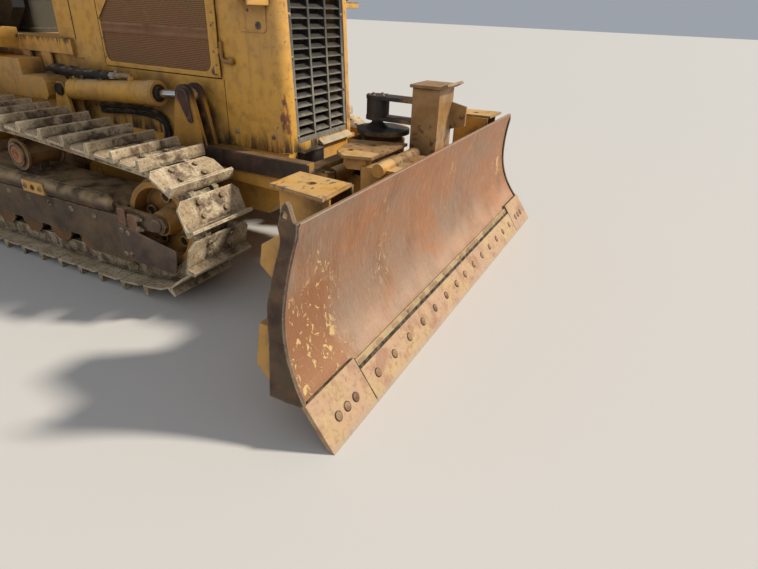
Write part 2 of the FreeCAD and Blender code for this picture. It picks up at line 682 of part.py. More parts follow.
def main_frame():
    """Side rails, belly plate, rear case and the pins that carry the C-frame."""
    pieces = []
    for sign in (-1, 1):
        y = tuple(sorted((sign * FRAME_HALF_WIDTH, sign * (FRAME_HALF_WIDTH - FRAME_PLATE))))
        pieces.append(prism_xz([(FRAME_REAR_X, FRAME_BOTTOM), (FRAME_FRONT_X - 150, FRAME_BOTTOM),
                                (FRAME_FRONT_X, FRAME_BOTTOM + 150), (FRAME_FRONT_X, FRAME_TOP),
                                (FRAME_REAR_X, FRAME_TOP)], y))
        boss = sign * (ARM_MIDDLE_Y - ARM_WIDTH / 2 - RUNNING_GAP)
        tip = sign * (ARM_MIDDLE_Y + ARM_WIDTH / 2 + 12)
        side = sign * (FRAME_HALF_WIDTH - 5)
        pieces.append(cylinder(vec(PIVOT_X, side, PIVOT_Z), vec(PIVOT_X, boss, PIVOT_Z),
                               PIVOT_PIN_RADIUS + 32))
        pieces.append(cylinder(vec(PIVOT_X, side, PIVOT_Z), vec(PIVOT_X, tip, PIVOT_Z), PIVOT_PIN_RADIUS))
        pieces.append(lift_bracket(sign))
    inner = FRAME_HALF_WIDTH - FRAME_PLATE
    pieces.append(prism_xz([(FRAME_REAR_X, FRAME_BOTTOM), (FRAME_FRONT_X - 150, FRAME_BOTTOM),
                            (FRAME_FRONT_X, FRAME_BOTTOM + 150), (FRAME_FRONT_X, FRAME_TOP),
                            (FRAME_FRONT_X - BELLY_PLATE, FRAME_TOP),
                            (FRAME_FRONT_X - BELLY_PLATE, FRAME_BOTTOM + 157),
                            (FRAME_FRONT_X - 157, FRAME_BOTTOM + BELLY_PLATE),
                            (FRAME_REAR_X, FRAME_BOTTOM + BELLY_PLATE)], (-inner, inner)))
    half = REAR_CASE_HALF_WIDTH
    pieces.append(prism_xz([(FRAME_REAR_X + 60, FRAME_BOTTOM), (FRAME_REAR_X + 60, REAR_CASE_TOP),
                            (REAR_CASE_X + 60, REAR_CASE_TOP), (REAR_CASE_X, REAR_CASE_TOP - 80),
                            (REAR_CASE_X, FRAME_BOTTOM + 80), (REAR_CASE_X + 60, FRAME_BOTTOM)],
                           (-half, half)))
    pieces.append(box((REAR_CASE_X - REAR_PAD_RISE, REAR_CASE_X + 1), (-REAR_PAD_HALF, REAR_PAD_HALF),
                      REAR_PAD_Z))
    frame = joined(pieces).cut(pad_holes())
    drive_end = TRACK_Y - SPROCKET_THICK / 2 - RUNNING_GAP
    drive = cylinder(vec(SPROCKET_X, -drive_end, SPROCKET_Z), vec(SPROCKET_X, drive_end, SPROCKET_Z), 150)
    return joined([frame, drive])


def pad_holes():
    """Four blind bolt holes in the rear pad."""
    inset = 30.0
    depth = 30.0
    face = REAR_CASE_X - REAR_PAD_RISE
    holes = []
    for y in (-REAR_PAD_HALF + inset, REAR_PAD_HALF - inset):
        for z in (REAR_PAD_Z[0] + inset, REAR_PAD_Z[1] - inset):
            holes.append(cylinder(vec(face - 1, y, z), vec(face + depth, y, z), 9.0))
    return Part.makeCompound(holes)


def lift_bracket(sign):
    """Two ears on the frame side that hold the base pin of a lift cylinder."""
    y_middle = sign * LIFT_Y
    gap = LIFT_EYE_WIDTH / 2 + 1.5
    ears = []
    for low, high in ((-gap - 18, -gap), (gap, gap + 18)):
        ears.append(prism_xz([(LIFT_BASE_X - 110, FRAME_TOP - 60), (LIFT_BASE_X + 90, FRAME_TOP - 60),
                              (LIFT_BASE_X + 42, LIFT_BASE_Z + 20), (LIFT_BASE_X + 20, LIFT_BASE_Z + 42),
                              (LIFT_BASE_X - 20, LIFT_BASE_Z + 42), (LIFT_BASE_X - 42, LIFT_BASE_Z + 20)],
                             (y_middle + low, y_middle + high)))
    shelf = tuple(sorted((sign * (FRAME_HALF_WIDTH - 5), y_middle + sign * (gap + 18))))
    foot = box((LIFT_BASE_X - 110, LIFT_BASE_X + 90), shelf, (FRAME_TOP - 90, FRAME_TOP - 60))
    pin = cylinder(vec(LIFT_BASE_X, y_middle - gap - 30, LIFT_BASE_Z),
                   vec(LIFT_BASE_X, y_middle + gap + 30, LIFT_BASE_Z), LEVER_PIN_RADIUS)
    return joined(ears + [foot, pin])


def drawbar():
    hitch_z = FRAME_BOTTOM + 120
    bar = box((DRAWBAR_X + 50, REAR_CASE_X), (-60, 60), (hitch_z - 25, hitch_z + 25))
    eye = cylinder(vec(DRAWBAR_X + 60, 0, hitch_z - 25), vec(DRAWBAR_X + 60, 0, hitch_z + 25), 60)
    hole = cylinder(vec(DRAWBAR_X + 60, 0, hitch_z - 30), vec(DRAWBAR_X + 60, 0, hitch_z + 30), 22)
    plate = box((REAR_CASE_X - 22, REAR_CASE_X), (-170, 170), (hitch_z - 90, hitch_z + 130))
    return joined([bar, eye, plate]).cut(hole)


def nose_profile(inset):
    """Side outline of the hood's front section, moved inward by an inset."""
    lean = math.tan(math.radians(NOSE_LEAN))
    rise = HOOD_TOP_FRONT - FRAME_TOP
    slope = (HOOD_TOP_REAR - HOOD_TOP_FRONT) / (NOSE_FRONT_X - COWL_REAR_X)
    top_rear = HOOD_TOP_FRONT + slope * (NOSE_FRONT_X - NOSE_REAR_X)
    return [(NOSE_REAR_X, FRAME_TOP + inset), (NOSE_FRONT_X - inset, FRAME_TOP + inset),
            (NOSE_FRONT_X - inset - lean * rise, HOOD_TOP_FRONT - inset),
            (NOSE_REAR_X, top_rear - inset)]


def nose_section():
    outer = prism_xz(nose_profile(0), (-HOOD_HALF_WIDTH, HOOD_HALF_WIDTH))
    front_edges = [edge for edge in outer.Edges
                   if abs(edge.CenterOfMass.y) > HOOD_HALF_WIDTH - 1
                   and edge.CenterOfMass.x > NOSE_FRONT_X - 60
                   and edge.BoundBox.ZLength > 500]
    outer = outer.makeFillet(NOSE_CORNER, front_edges)
    inside = HOOD_HALF_WIDTH - HOOD_SKIN
    cavity = prism_xz([(NOSE_REAR_X - 1, FRAME_TOP - 1), (NOSE_FRONT_X - 110, FRAME_TOP - 1),
                       (NOSE_FRONT_X - 110 - 46, HOOD_TOP_FRONT - 45), (NOSE_REAR_X - 1, HOOD_TOP_FRONT - 30)],
                      (-inside, inside))
    opening = box((NOSE_REAR_X, NOSE_FRONT_X + 5), (-GRILLE_HALF_WIDTH, GRILLE_HALF_WIDTH),
                  (GRILLE_BOTTOM, GRILLE_TOP))
    return outer.cut(cavity).cut(opening)


def on_grille(depth, z):
    """X of a point at a depth behind the leaning front face."""
    return NOSE_FRONT_X - math.tan(math.radians(NOSE_LEAN)) * (z - FRAME_TOP) - depth


def leaning_bar(depth, y, z):
    """Bar in the leaning plane of the grille."""
    outline = [(on_grille(depth[1], z[0]), z[0]), (on_grille(depth[0], z[0]), z[0]),
               (on_grille(depth[0], z[1]), z[1]), (on_grille(depth[1], z[1]), z[1])]
    return prism_xz(outline, y)


def grille():
    gap = RUNNING_GAP
    y_out = GRILLE_HALF_WIDTH - gap
    y_in = y_out - GRILLE_FRAME
    low, high = GRILLE_BOTTOM + gap, GRILLE_TOP - gap
    depth = (4.0, 4.0 + GRILLE_DEPTH)
    pieces = [leaning_bar(depth, (-y_out, -y_in), (low, high)), leaning_bar(depth, (y_in, y_out), (low, high)),
              leaning_bar(depth, (-y_in, y_in), (low, low + GRILLE_FRAME)),
              leaning_bar(depth, (-y_in, y_in), (high - GRILLE_FRAME, high))]
    width = (2 * y_in - MULLION * (LOUVRE_COLUMNS - 1)) / LOUVRE_COLUMNS
    for column in range(1, LOUVRE_COLUMNS):
        y = -y_in + column * width + (column - 1) * MULLION
        pieces.append(leaning_bar(depth, (y, y + MULLION), (low + GRILLE_FRAME, high - GRILLE_FRAME)))
    rows = (high - low - 2 * GRILLE_FRAME) / LOUVRE_ROWS
    drop = math.tan(math.radians(LOUVRE_SLOPE)) * (GRILLE_DEPTH - 6)
    for row in range(LOUVRE_ROWS):
        z = low + GRILLE_FRAME + rows * (row + 0.5) - LOUVRE_THICK / 2
        front, back = on_grille(depth[0] + 3, z), on_grille(depth[1] - 3, z)
        blade = [(front, z - drop / 2), (front, z - drop / 2 + LOUVRE_THICK),
                 (back, z + drop / 2 + LOUVRE_THICK), (back, z + drop / 2)]
        pieces.append(prism_xz(blade, (-y_in, y_in)))
    return joined(pieces)


def radiator():
    back = 130.0
    half = HOOD_HALF_WIDTH - HOOD_SKIN - RUNNING_GAP
    return leaning_bar((back, back + 70), (-half, half), (FRAME_TOP + 5, HOOD_TOP_FRONT - 70))


def engine():
    front = NOSE_REAR_X - 30
    rear = front - ENGINE_LENGTH
    half = ENGINE_WIDTH / 2
    block = box((rear, front), (-half, half), (ENGINE_BOTTOM, ENGINE_TOP))
    inside = FRAME_HALF_WIDTH - FRAME_PLATE
    feet = [box((x, x + ENGINE_FOOT), (-inside, inside), (ENGINE_BOTTOM + 80, ENGINE_BOTTOM + 140))
            for x in (rear + 60, front - 60 - ENGINE_FOOT)]
    return joined([block] + feet)


def hood_top_at(x):
    share = (NOSE_FRONT_X - x) / (NOSE_FRONT_X - COWL_REAR_X)
    return HOOD_TOP_FRONT + share * (HOOD_TOP_REAR - HOOD_TOP_FRONT)


def hood():
    """Top and sides between the front section and the cowl, with a door opening each side."""
    front, rear = NOSE_REAR_X, COWL_FRONT_X
    half = HOOD_HALF_WIDTH
    outer = prism_xz([(rear, FRAME_TOP), (front, FRAME_TOP), (front, hood_top_at(front)),
                      (rear, hood_top_at(rear))], (-half, half))
    corners = [edge for edge in outer.Edges if edge.BoundBox.XLength > 500 and edge.CenterOfMass.z > 1500
               and abs(edge.CenterOfMass.y) > half - 1]
    outer = outer.makeFillet(45, corners)
    inner = prism_xz([(rear - 1, FRAME_TOP - 1), (front + 1, FRAME_TOP - 1),
                      (front + 1, hood_top_at(front) - HOOD_SKIN), (rear - 1, hood_top_at(rear) - HOOD_SKIN)],
                     (-half + HOOD_SKIN, half - HOOD_SKIN))
    inner_corners = [edge for edge in inner.Edges if edge.BoundBox.XLength > 500
                     and edge.CenterOfMass.z > 1500 and abs(edge.CenterOfMass.y) > half - HOOD_SKIN - 1]
    shell = outer.cut(inner.makeFillet(45 - HOOD_SKIN, inner_corners))
    doorway = box((rear + 40, front - 12), (-half - 1, half + 1), (DOOR_BOTTOM, DOOR_TOP))
    rings = []
    for z in HINGE_RINGS:
        ring = hinge_ring(z)
        rings.extend([ring, mirrored(ring)])
    return joined([shell.cut(doorway)] + rings)


def hinge_ring(z):
    """Right-hand ring on the hood that holds the rod of the engine door."""
    low, high = z - 14, z + 14
    ring = cylinder(vec(HINGE_X, -HINGE_Y, low), vec(HINGE_X, -HINGE_Y, high), HINGE_RING)
    foot = box((HINGE_X + 4, NOSE_REAR_X), (-HINGE_Y, -HOOD_HALF_WIDTH + 1), (low, high))
    bore = cylinder(vec(HINGE_X, -HINGE_Y, low - 1), vec(HINGE_X, -HINGE_Y, high + 1), HINGE_ROD + 0.05)
    return ring.fuse(foot).cut(bore)


def engine_door():
    """Right-hand door: frame with a perforated panel set into its round-cornered opening."""
    front, rear = NOSE_REAR_X - 13.0 - DOOR_GAP, COWL_FRONT_X + 40 + DOOR_GAP
    low, high = DOOR_BOTTOM + DOOR_GAP, DOOR_TOP - DOOR_GAP
    outer = -HOOD_HALF_WIDTH
    slab = box((rear, front), (outer, outer + DOOR_THICK), (low, high))
    slab = slab.cut(box((rear + 8, front - 8), (outer + 6, outer + DOOR_THICK + 1), (low + 8, high - 8)))
    window = box((MESH_REAR_X, MESH_FRONT_X), (outer - 1, outer + DOOR_THICK + 1), (MESH_BOTTOM, MESH_TOP))
    corners = [edge for edge in window.Edges if edge.BoundBox.YLength > DOOR_THICK]
    window = window.makeFillet(MESH_CORNER, corners)
    slab = slab.cut(window)
    mesh = box((rear + 9, front - 9), (outer + 6, outer + 6 + MESH_THICK), (low + 9, high - 9))
    rod = cylinder(vec(HINGE_X, -HINGE_Y, low + 10), vec(HINGE_X, -HINGE_Y, high - 10), HINGE_ROD)
    tabs = [box((front - 30, HINGE_X), (-HINGE_Y, outer + 1), (z - 20, z + 20)) for z in HINGE_TABS]
    tabs = [tab.cut(box((front, HINGE_X + 1), (-HINGE_Y + HINGE_ROD, outer + 2), (z - 21, z + 21)))
            for tab, z in zip(tabs, HINGE_TABS)]
    return joined([slab, mesh, rod] + tabs)


def cowl():
    half = HOOD_HALF_WIDTH
    outer = prism_xz([(COWL_REAR_X, 1060), (COWL_FRONT_X, 1060), (COWL_FRONT_X, hood_top_at(COWL_FRONT_X)),
                      (COWL_REAR_X + 60, HOOD_TOP_REAR), (COWL_REAR_X, HOOD_TOP_REAR - 90)], (-half, half))
    foot = box((COWL_REAR_X + 60, COWL_FRONT_X), (-half, half), (FRAME_TOP, 1060))
    inner = box((COWL_REAR_X + 30, COWL_FRONT_X + 1), (-half + 30, half - 30),
                (FRAME_TOP - 1, HOOD_TOP_REAR - 40))
    dash = prism_xz(list(DASH), (-DASH_HALF, DASH_HALF))
    return joined([outer, foot, dash]).cut(inner)


def exhaust():
    x, y = EXHAUST_PLACE
    base = hood_top_at(x - EXHAUST_BASE_RADIUS)
    rise = EXHAUST_HEIGHT
    muffler = cylinder(vec(x, y, base + RUNNING_GAP), vec(x, y, base + 90), EXHAUST_BASE_RADIUS)
    stack = cylinder(vec(x, y, base + 90), vec(x, y, base + rise), EXHAUST_RADIUS)
    bore = cylinder(vec(x, y, base + 120), vec(x, y, base + rise + 140), EXHAUST_RADIUS - 5)
    tip = cylinder(vec(x, y, base + rise - 15), vec(x - 40, y, base + rise + 80), EXHAUST_RADIUS)
    return joined([muffler, stack, tip]).cut(bore)


def air_intake():
    x, y = INTAKE_PLACE
    neck, head = INTAKE_RADII
    base = hood_top_at(x - neck) + RUNNING_GAP
    rise = INTAKE_HEIGHT
    points = [(0, 0), (neck, 0), (neck, rise - 130), (head, rise - 105), (head, rise - 30), (head - 25, rise),
              (0, rise)]
    outline = [vec(x + radius, y, base + height) for radius, height in points]
    return face_of(outline).revolve(vec(x, y, 0), vec(0, 0, 1), 360)


def platform():
    """Floor between the cowl and the tank, its side skirts and the legs down to the frame."""
    half = PLATFORM_HALF
    front, rear = COWL_REAR_X - 1.0, PLATFORM_REAR_X
    floor = box((rear, front), (-half, half), (FLOOR_TOP - FLOOR_PLATE, FLOOR_TOP))
    pieces = [floor]
    for sign in (-1, 1):
        skirt = tuple(sorted((sign * half, sign * (half - 14))))
        pieces.append(box((rear, front), skirt, (FLOOR_TOP - PLATFORM_SIDE, FLOOR_TOP)))
        leg = tuple(sorted((sign * (REAR_CASE_HALF_WIDTH), sign * (REAR_CASE_HALF_WIDTH - 60))))
        pieces.append(box((REAR_CASE_X + 100, REAR_CASE_X + 260), leg, (REAR_CASE_TOP, FLOOR_TOP)))
        pieces.append(box((FRAME_REAR_X + 90, FRAME_REAR_X + 220), leg, (REAR_CASE_TOP, FLOOR_TOP)))
    return joined(pieces)


def side_box():
    """Right-hand beam and step box, hung from the platform's side."""
    rear, front = SIDE_BOX_X
    inner, outer = SIDE_BOX_Y
    low, high = SIDE_BOX_Z
    step_front, step_top = SIDE_STEP
    cut = SIDE_BOX_CUT
    beam = prism_xz([(rear, low), (front - cut, low), (front, low + cut), (front, high - cut),
                     (front - cut, high), (rear, high)], (-outer, -inner))
    step = box((rear, step_front), (-outer, -inner), (high - 1, step_top))
    hanger_y = (-inner - 1, -PLATFORM_HALF - RUNNING_GAP)
    hangers = [box(x, hanger_y, (low, SIDE_HANGER_TOP)) for x in SIDE_HANGERS]
    return joined([beam, step] + hangers)


def console():
    """Right-hand control console beside the seat, with its armrest."""
    rear, front = CONSOLE_X
    inner, outer = CONSOLE_Y
    high, low = CONSOLE_RISE
    floor = FLOOR_TOP + RUNNING_GAP
    wall = CONSOLE_WALL
    arm_rear, arm_front, arm_thick = ARMREST
    share = (arm_front - rear) / (front - rear)
    at_arm = FLOOR_TOP + high + share * (low - high)
    body = prism_xz([(rear, floor), (front - CONSOLE_FOOT, floor), (front, floor + CONSOLE_FOOT),
                     (front, FLOOR_TOP + low), (rear, FLOOR_TOP + high)], (-outer, -inner))
    arm = prism_xz([(arm_rear, FLOOR_TOP + high - 12), (arm_front, at_arm - 12), (arm_front, FLOOR_TOP + high),
                    (arm_front - 12, FLOOR_TOP + high + arm_thick), (arm_rear, FLOOR_TOP + high + arm_thick)],
                   (-outer, -inner))
    arm = arm.makeFillet(wall, [edge for edge in arm.Edges if edge.BoundBox.YLength > 50
                                and edge.CenterOfMass.z > FLOOR_TOP + high + 1])
    return joined([body, arm])


def console_top(x):
    """Height of a console's sloping top."""
    rear, front = CONSOLE_X
    high, low = CONSOLE_RISE
    return FLOOR_TOP + high + (x - rear) / (front - rear) * (low - high)


def control_lever(x, sign, rise):
    """Hand lever with its rubber boot, standing on a console."""
    foot, neck, height = LEVER_BOOT
    y = sign * (CONSOLE_Y[0] + CONSOLE_Y[1]) / 2
    base = console_top(x - foot) + RUNNING_GAP
    boot = Part.makeCone(foot, neck, height, vec(x, y, base))
    stem = cylinder(vec(x, y, base + height - 5), vec(x + 20, y, base + rise), LEVER_RADIUS)
    knob = Part.makeSphere(LEVER_KNOB, vec(x + 20, y, base + rise))
    return joined([boot, stem, knob])


def pedal(y):
    """Foot pedal on a stalk from the floor."""
    width, length, thick = PEDAL
    floor = FLOOR_TOP + RUNNING_GAP
    low, high = floor + PEDAL_RISE, floor + PEDAL_RISE + length / 2
    plate = prism_xz([(PEDAL_X, low - thick), (PEDAL_X + length, high - thick), (PEDAL_X + length, high),
                      (PEDAL_X, low)], (y - width / 2, y + width / 2))
    middle = PEDAL_X + length / 2
    stalk = cylinder(vec(middle, y, floor), vec(middle, y, (low + high - thick) / 2), thick)
    foot = box((middle - 20, middle + 20), (y - 20, y + 20), (floor, floor + thick))
    return joined([plate, stalk, foot])


def levers():
    """Steering lever on the left console, blade lever on the right one, and two pedals."""
    steer_rise, blade_rise = LEVER_RISE
    hand = [control_lever(STEER_LEVER_X, 1, steer_rise), control_lever(BLADE_LEVER_X, -1, blade_rise)]
    return hand + [pedal(y) for y in PEDAL_YS]


def fender():
    """Right-hand fender over the back of the track."""
    outer, inner = -FENDER_OUTER_Y, -PLATFORM_HALF - RUNNING_GAP
    deck = box((FENDER_REAR_X, FENDER_FRONT_X), (outer, inner), (FENDER_TOP - FENDER_PLATE, FENDER_TOP))
    skirt = box((FENDER_REAR_X, FENDER_FRONT_X), (outer, outer + FENDER_PLATE), (FENDER_TOP - 110, FENDER_TOP))
    wall = box((FENDER_REAR_X, FENDER_FRONT_X), (inner - FENDER_PLATE, inner), (FLOOR_TOP - 85, FENDER_TOP))
    lip = box((FENDER_FRONT_X - FENDER_PLATE, FENDER_FRONT_X), (outer, inner), (FENDER_TOP - 110, FENDER_TOP))
    return joined([deck, skirt, wall, lip])


def side_tank():
    base = FENDER_TOP + RUNNING_GAP
    tank = box((FENDER_REAR_X + 145, FENDER_FRONT_X - 240), SIDE_TANK_Y, (base, base + SIDE_TANK_HEIGHT))
    edges = [edge for edge in tank.Edges if edge.BoundBox.XLength > 100 and edge.CenterOfMass.z > base + 100]
    return tank.makeFillet(SIDE_TANK_ROUND, edges)


def fuel_tank():
    tank = prism_xz([(TANK_FRONT_X, TANK_BOTTOM), (TANK_FRONT_X, TANK_TOP), (TANK_REAR_X + 90, TANK_TOP),
                     (TANK_REAR_X, TANK_TOP - 120), (TANK_REAR_X, TANK_BOTTOM + 60),
                     (TANK_REAR_X + 40, TANK_BOTTOM)], (-TANK_HALF, TANK_HALF))
    ledge = box((TANK_FRONT_X - 100, TANK_FRONT_X + 1), (-TANK_HALF - 1, TANK_HALF + 1),
                (TANK_BOTTOM - 1, FENDER_TOP + RUNNING_GAP))
    neck_x, neck_y, neck_radius, neck_rise = TANK_NECK
    cap_radius, cap_rise = TANK_CAP
    cap_z = TANK_TOP + neck_rise
    neck = cylinder(vec(neck_x, neck_y, TANK_TOP - 1), vec(neck_x, neck_y, cap_z), neck_radius)
    cap = cylinder(vec(neck_x, neck_y, cap_z), vec(neck_x, neck_y, cap_z + cap_rise), cap_radius)
    return joined([tank.cut(ledge), neck, cap])


def seat():
    """Base, cushion and back as three shapes."""
    rear, front = SEAT_X
    half = SEAT_WIDTH / 2
    sit = FLOOR_TOP + SEAT_BASE_HEIGHT
    top = sit + SEAT_CUSHION
    base = box((rear + 50, front - 110), (-half + 70, half - 70), (FLOOR_TOP + RUNNING_GAP, sit))
    cushion = box((rear, front), (-half, half), (sit + RUNNING_GAP, top))
    cushion = cushion.makeFillet(30, [edge for edge in cushion.Edges if edge.BoundBox.ZLength > 50])
    back = prism_xz([(rear + 10, top + RUNNING_GAP), (rear + 110, top + RUNNING_GAP), (rear + 10, top + SEAT_BACK),
                     (rear - 80, top + SEAT_BACK)], (-half + 5, half - 5))
    back = back.makeFillet(28, [edge for edge in back.Edges if edge.BoundBox.ZLength > 300])
    return base, cushion, back


def canopy_posts():
    pieces = []
    for sign in (-1, 1):
        y = tuple(sorted((sign * (POST_Y - POST / 2), sign * (POST_Y + POST / 2))))
        low = FENDER_TOP + RUNNING_GAP
        pieces.append(box((REAR_POST_X - POST, REAR_POST_X), y, (low, CANOPY_TOP - CANOPY_THICK)))
        front = tuple(sorted((sign * (HOOD_HALF_WIDTH - 70), sign * HOOD_HALF_WIDTH)))
        pieces.append(box((FRONT_POST_X - 20, FRONT_POST_X + 50), front,
                          (HOOD_TOP_REAR + RUNNING_GAP, CANOPY_TOP - CANOPY_THICK)))
    return pieces


def canopy_braces():
    """Beams between the posts, and gussets behind the front and ahead of the rear ones."""
    under = CANOPY_TOP - CANOPY_THICK
    low = under - CANOPY_BEAM
    front_y = HOOD_HALF_WIDTH - 35
    pieces = [box((REAR_POST_X - POST, REAR_POST_X), (-POST_Y, POST_Y), (low, under)),
              box((FRONT_POST_X - 20, FRONT_POST_X + 50), (-front_y, front_y), (low, under))]
    for sign in (-1, 1):
        for post_x, middle, way in ((REAR_POST_X - 1, sign * POST_Y, 1), (FRONT_POST_X - 19, sign * front_y, -1)):
            y = (middle - GUSSET_THICK / 2, middle + GUSSET_THICK / 2)
            pieces.append(prism_xz([(post_x, under), (post_x + way * GUSSET_LEG, under),
                                    (post_x, under - GUSSET_LEG)], y))
    return pieces


def canopy_roof():
    roof = box((CANOPY_REAR_X, CANOPY_FRONT_X), (-CANOPY_HALF, CANOPY_HALF),
               (CANOPY_TOP - CANOPY_THICK, CANOPY_TOP))
    edges = [edge for edge in roof.Edges if edge.BoundBox.ZLength > CANOPY_THICK - 1
             or edge.CenterOfMass.z > CANOPY_TOP - 1]
    return roof.makeFillet(22, edges)


def arm_outline():
    low = RAIL_TOP - RAIL_HEIGHT
    return [(PIVOT_X, PIVOT_Z - ARM_END_RADIUS), (RAIL_REAR_X, low), (CROSS_FRONT_X - 30, CROSS_BOTTOM),
            (CROSS_FRONT_X + 10, CROSS_BOTTOM + 30), (CROSS_FRONT_X + 10, CROSS_TOP - 20),
            (CROSS_FRONT_X - 10, CROSS_TOP), (RAIL_KNEE_X, RAIL_TOP), (RAIL_REAR_X, RAIL_TOP),
            (PIVOT_X, PIVOT_Z + ARM_END_RADIUS)]


def arm_plan(sign):
    """Plan of an arm: full width to the lever, narrower rail ahead of it."""
    inner, outer = ARM_MIDDLE_Y - ARM_WIDTH / 2, ARM_MIDDLE_Y + ARM_WIDTH / 2
    rear, front = PIVOT_X - 2 * ARM_END_RADIUS, CROSS_FRONT_X + 10
    step, taper = RAIL_REAR_X, 80.0
    outline = [(rear, inner), (step, inner), (step + taper, RAIL_Y[0]), (front, RAIL_Y[0]),
               (front, RAIL_Y[1]), (step + taper, RAIL_Y[1]), (step, outer), (rear, outer)]
    return prism_xy([(x, sign * y) for x, y in outline], (0, RAIL_TOP + 10))


def rail_bar(sign):
    bottom, height, thick = RAIL_BAR
    y = tuple(sorted((sign * (RAIL_Y[1] - 1), sign * (RAIL_Y[1] + thick))))
    return box((RAIL_REAR_X + 110, CROSS_FRONT_X), y, (bottom, bottom + height))


def lever_tower(y):
    """Two-plate lever on the arm that the lift rod pushes."""
    plates = []
    gap = LIFT_EYE_WIDTH / 2 + 1.5
    slope = math.radians(18)
    reach = LEVER_HEAD_RADIUS
    for low, high in ((-gap - LEVER_PLATE, -gap), (gap, gap + LEVER_PLATE)):
        span = (y + low, y + high)
        foot_z = RAIL_TOP - 60
        body = prism_xz([(LEVER_PIN_X - LEVER_FOOT / 2 - 30, foot_z), (LEVER_PIN_X + LEVER_FOOT / 2 + 30, foot_z),
                         (LEVER_PIN_X + reach * math.cos(slope), LEVER_PIN_Z + reach * math.sin(slope)),
                         (LEVER_PIN_X - reach * math.cos(slope), LEVER_PIN_Z + reach * math.sin(slope))], span)
        head = cylinder(vec(LEVER_PIN_X, span[0], LEVER_PIN_Z), vec(LEVER_PIN_X, span[1], LEVER_PIN_Z), reach)
        plates.extend([body, head])
    return plates


def c_frame():
    pieces = []
    for sign in (-1, 1):
        middle = sign * ARM_MIDDLE_Y
        y = (middle - ARM_WIDTH / 2, middle + ARM_WIDTH / 2)
        pieces.append(prism_xz(arm_outline(), y).common(arm_plan(sign)))
        pieces.append(rail_bar(sign))
        pieces.append(cylinder(vec(PIVOT_X, y[0], PIVOT_Z), vec(PIVOT_X, y[1], PIVOT_Z), ARM_END_RADIUS))
        pieces.extend(lever_tower(sign * LIFT_Y))
        pieces.extend(yoke_lugs(sign))
    reach = RAIL_Y[0] + 5
    pieces.append(box((CROSS_REAR_X, CROSS_FRONT_X), (-reach, reach), (CROSS_BOTTOM, CROSS_TOP)))
    pieces.extend(nose_box())
    pieces.extend(tilt_lugs())
    frame = joined(pieces)
    bore_radius = PIVOT_PIN_RADIUS + 0.05
    frame = frame.cut(cylinder(vec(PIVOT_X, -600, PIVOT_Z), vec(PIVOT_X, 600, PIVOT_Z), bore_radius))
    ball = Part.makeSphere(LOWER_BALL_RADIUS, vec(ANGLE_AXIS_X, 0, LOWER_BALL_Z))
    pin = cylinder(vec(CROSS_FRONT_X + 2, 0, LOWER_BALL_Z), vec(ANGLE_AXIS_X, 0, LOWER_BALL_Z), TILT_PIN_RADIUS)
    return frame.fuse([ball, pin])


def tilt_lugs():
    """Two ears ahead of the cross member with the pin of the tilt cylinder's base eye."""
    inside = TILT_EYE_HALF + RUNNING_GAP
    outside = inside + TILT_LUG
    low, high = TILT_CYLINDER_Z - 26, TILT_CYLINDER_Z + 26
    web_y = (TILT_BASE_Y - 46, TILT_BASE_Y - 34)
    ears = [box((CROSS_FRONT_X - 1, LEVER_ARM_X - inside), (web_y[0], TILT_BASE_Y + 18), (low, high)),
            box((LEVER_ARM_X + inside, LEVER_ARM_X + outside), (web_y[0], TILT_BASE_Y + 18), (low, high)),
            box((CROSS_FRONT_X - 1, LEVER_ARM_X + outside), web_y, (low, high))]
    pin = cylinder(vec(CROSS_FRONT_X, TILT_BASE_Y, TILT_CYLINDER_Z),
                   vec(LEVER_ARM_X + outside + 6, TILT_BASE_Y, TILT_CYLINDER_Z), TILT_EYE_PIN)
    return ears + [pin]


def yoke_lugs(sign):
    """Lugs under the cross member that hold a yoke's pin."""
    y = tuple(sorted((sign * (YOKE_Y - 30), sign * (YOKE_Y + 30))))
    low, shelf = ANGLE_Z - 30, ANGLE_Z + 70
    rear = ANGLE_BASE_X - YOKE_HALF - RUNNING_GAP
    front = ANGLE_BASE_X + YOKE_HALF + RUNNING_GAP
    hole = cylinder(vec(rear - 50, sign * YOKE_Y, ANGLE_Z), vec(front + 50, sign * YOKE_Y, ANGLE_Z),
                    YOKE_PIN_RADIUS + 0.05)
    lugs = [box((rear - YOKE_LUG, rear), y, (low, shelf)), box((front, front + YOKE_LUG), y, (low, CROSS_BOTTOM + 1)),
            box((rear - YOKE_LUG, front + YOKE_LUG), y, (shelf - 1, shelf + 16))]
    return [lug.cut(hole) for lug in lugs]


def rounded_nose(half, rear, z):
    """Prism with straight sides and a half-round front about the flange's middle."""
    front = FLANGE_X - 7
    block = box((rear, front), (-half, half), z)
    round_front = cylinder(vec(front, 0, z[0]), vec(front, 0, z[1]), half)
    return block.fuse(round_front)


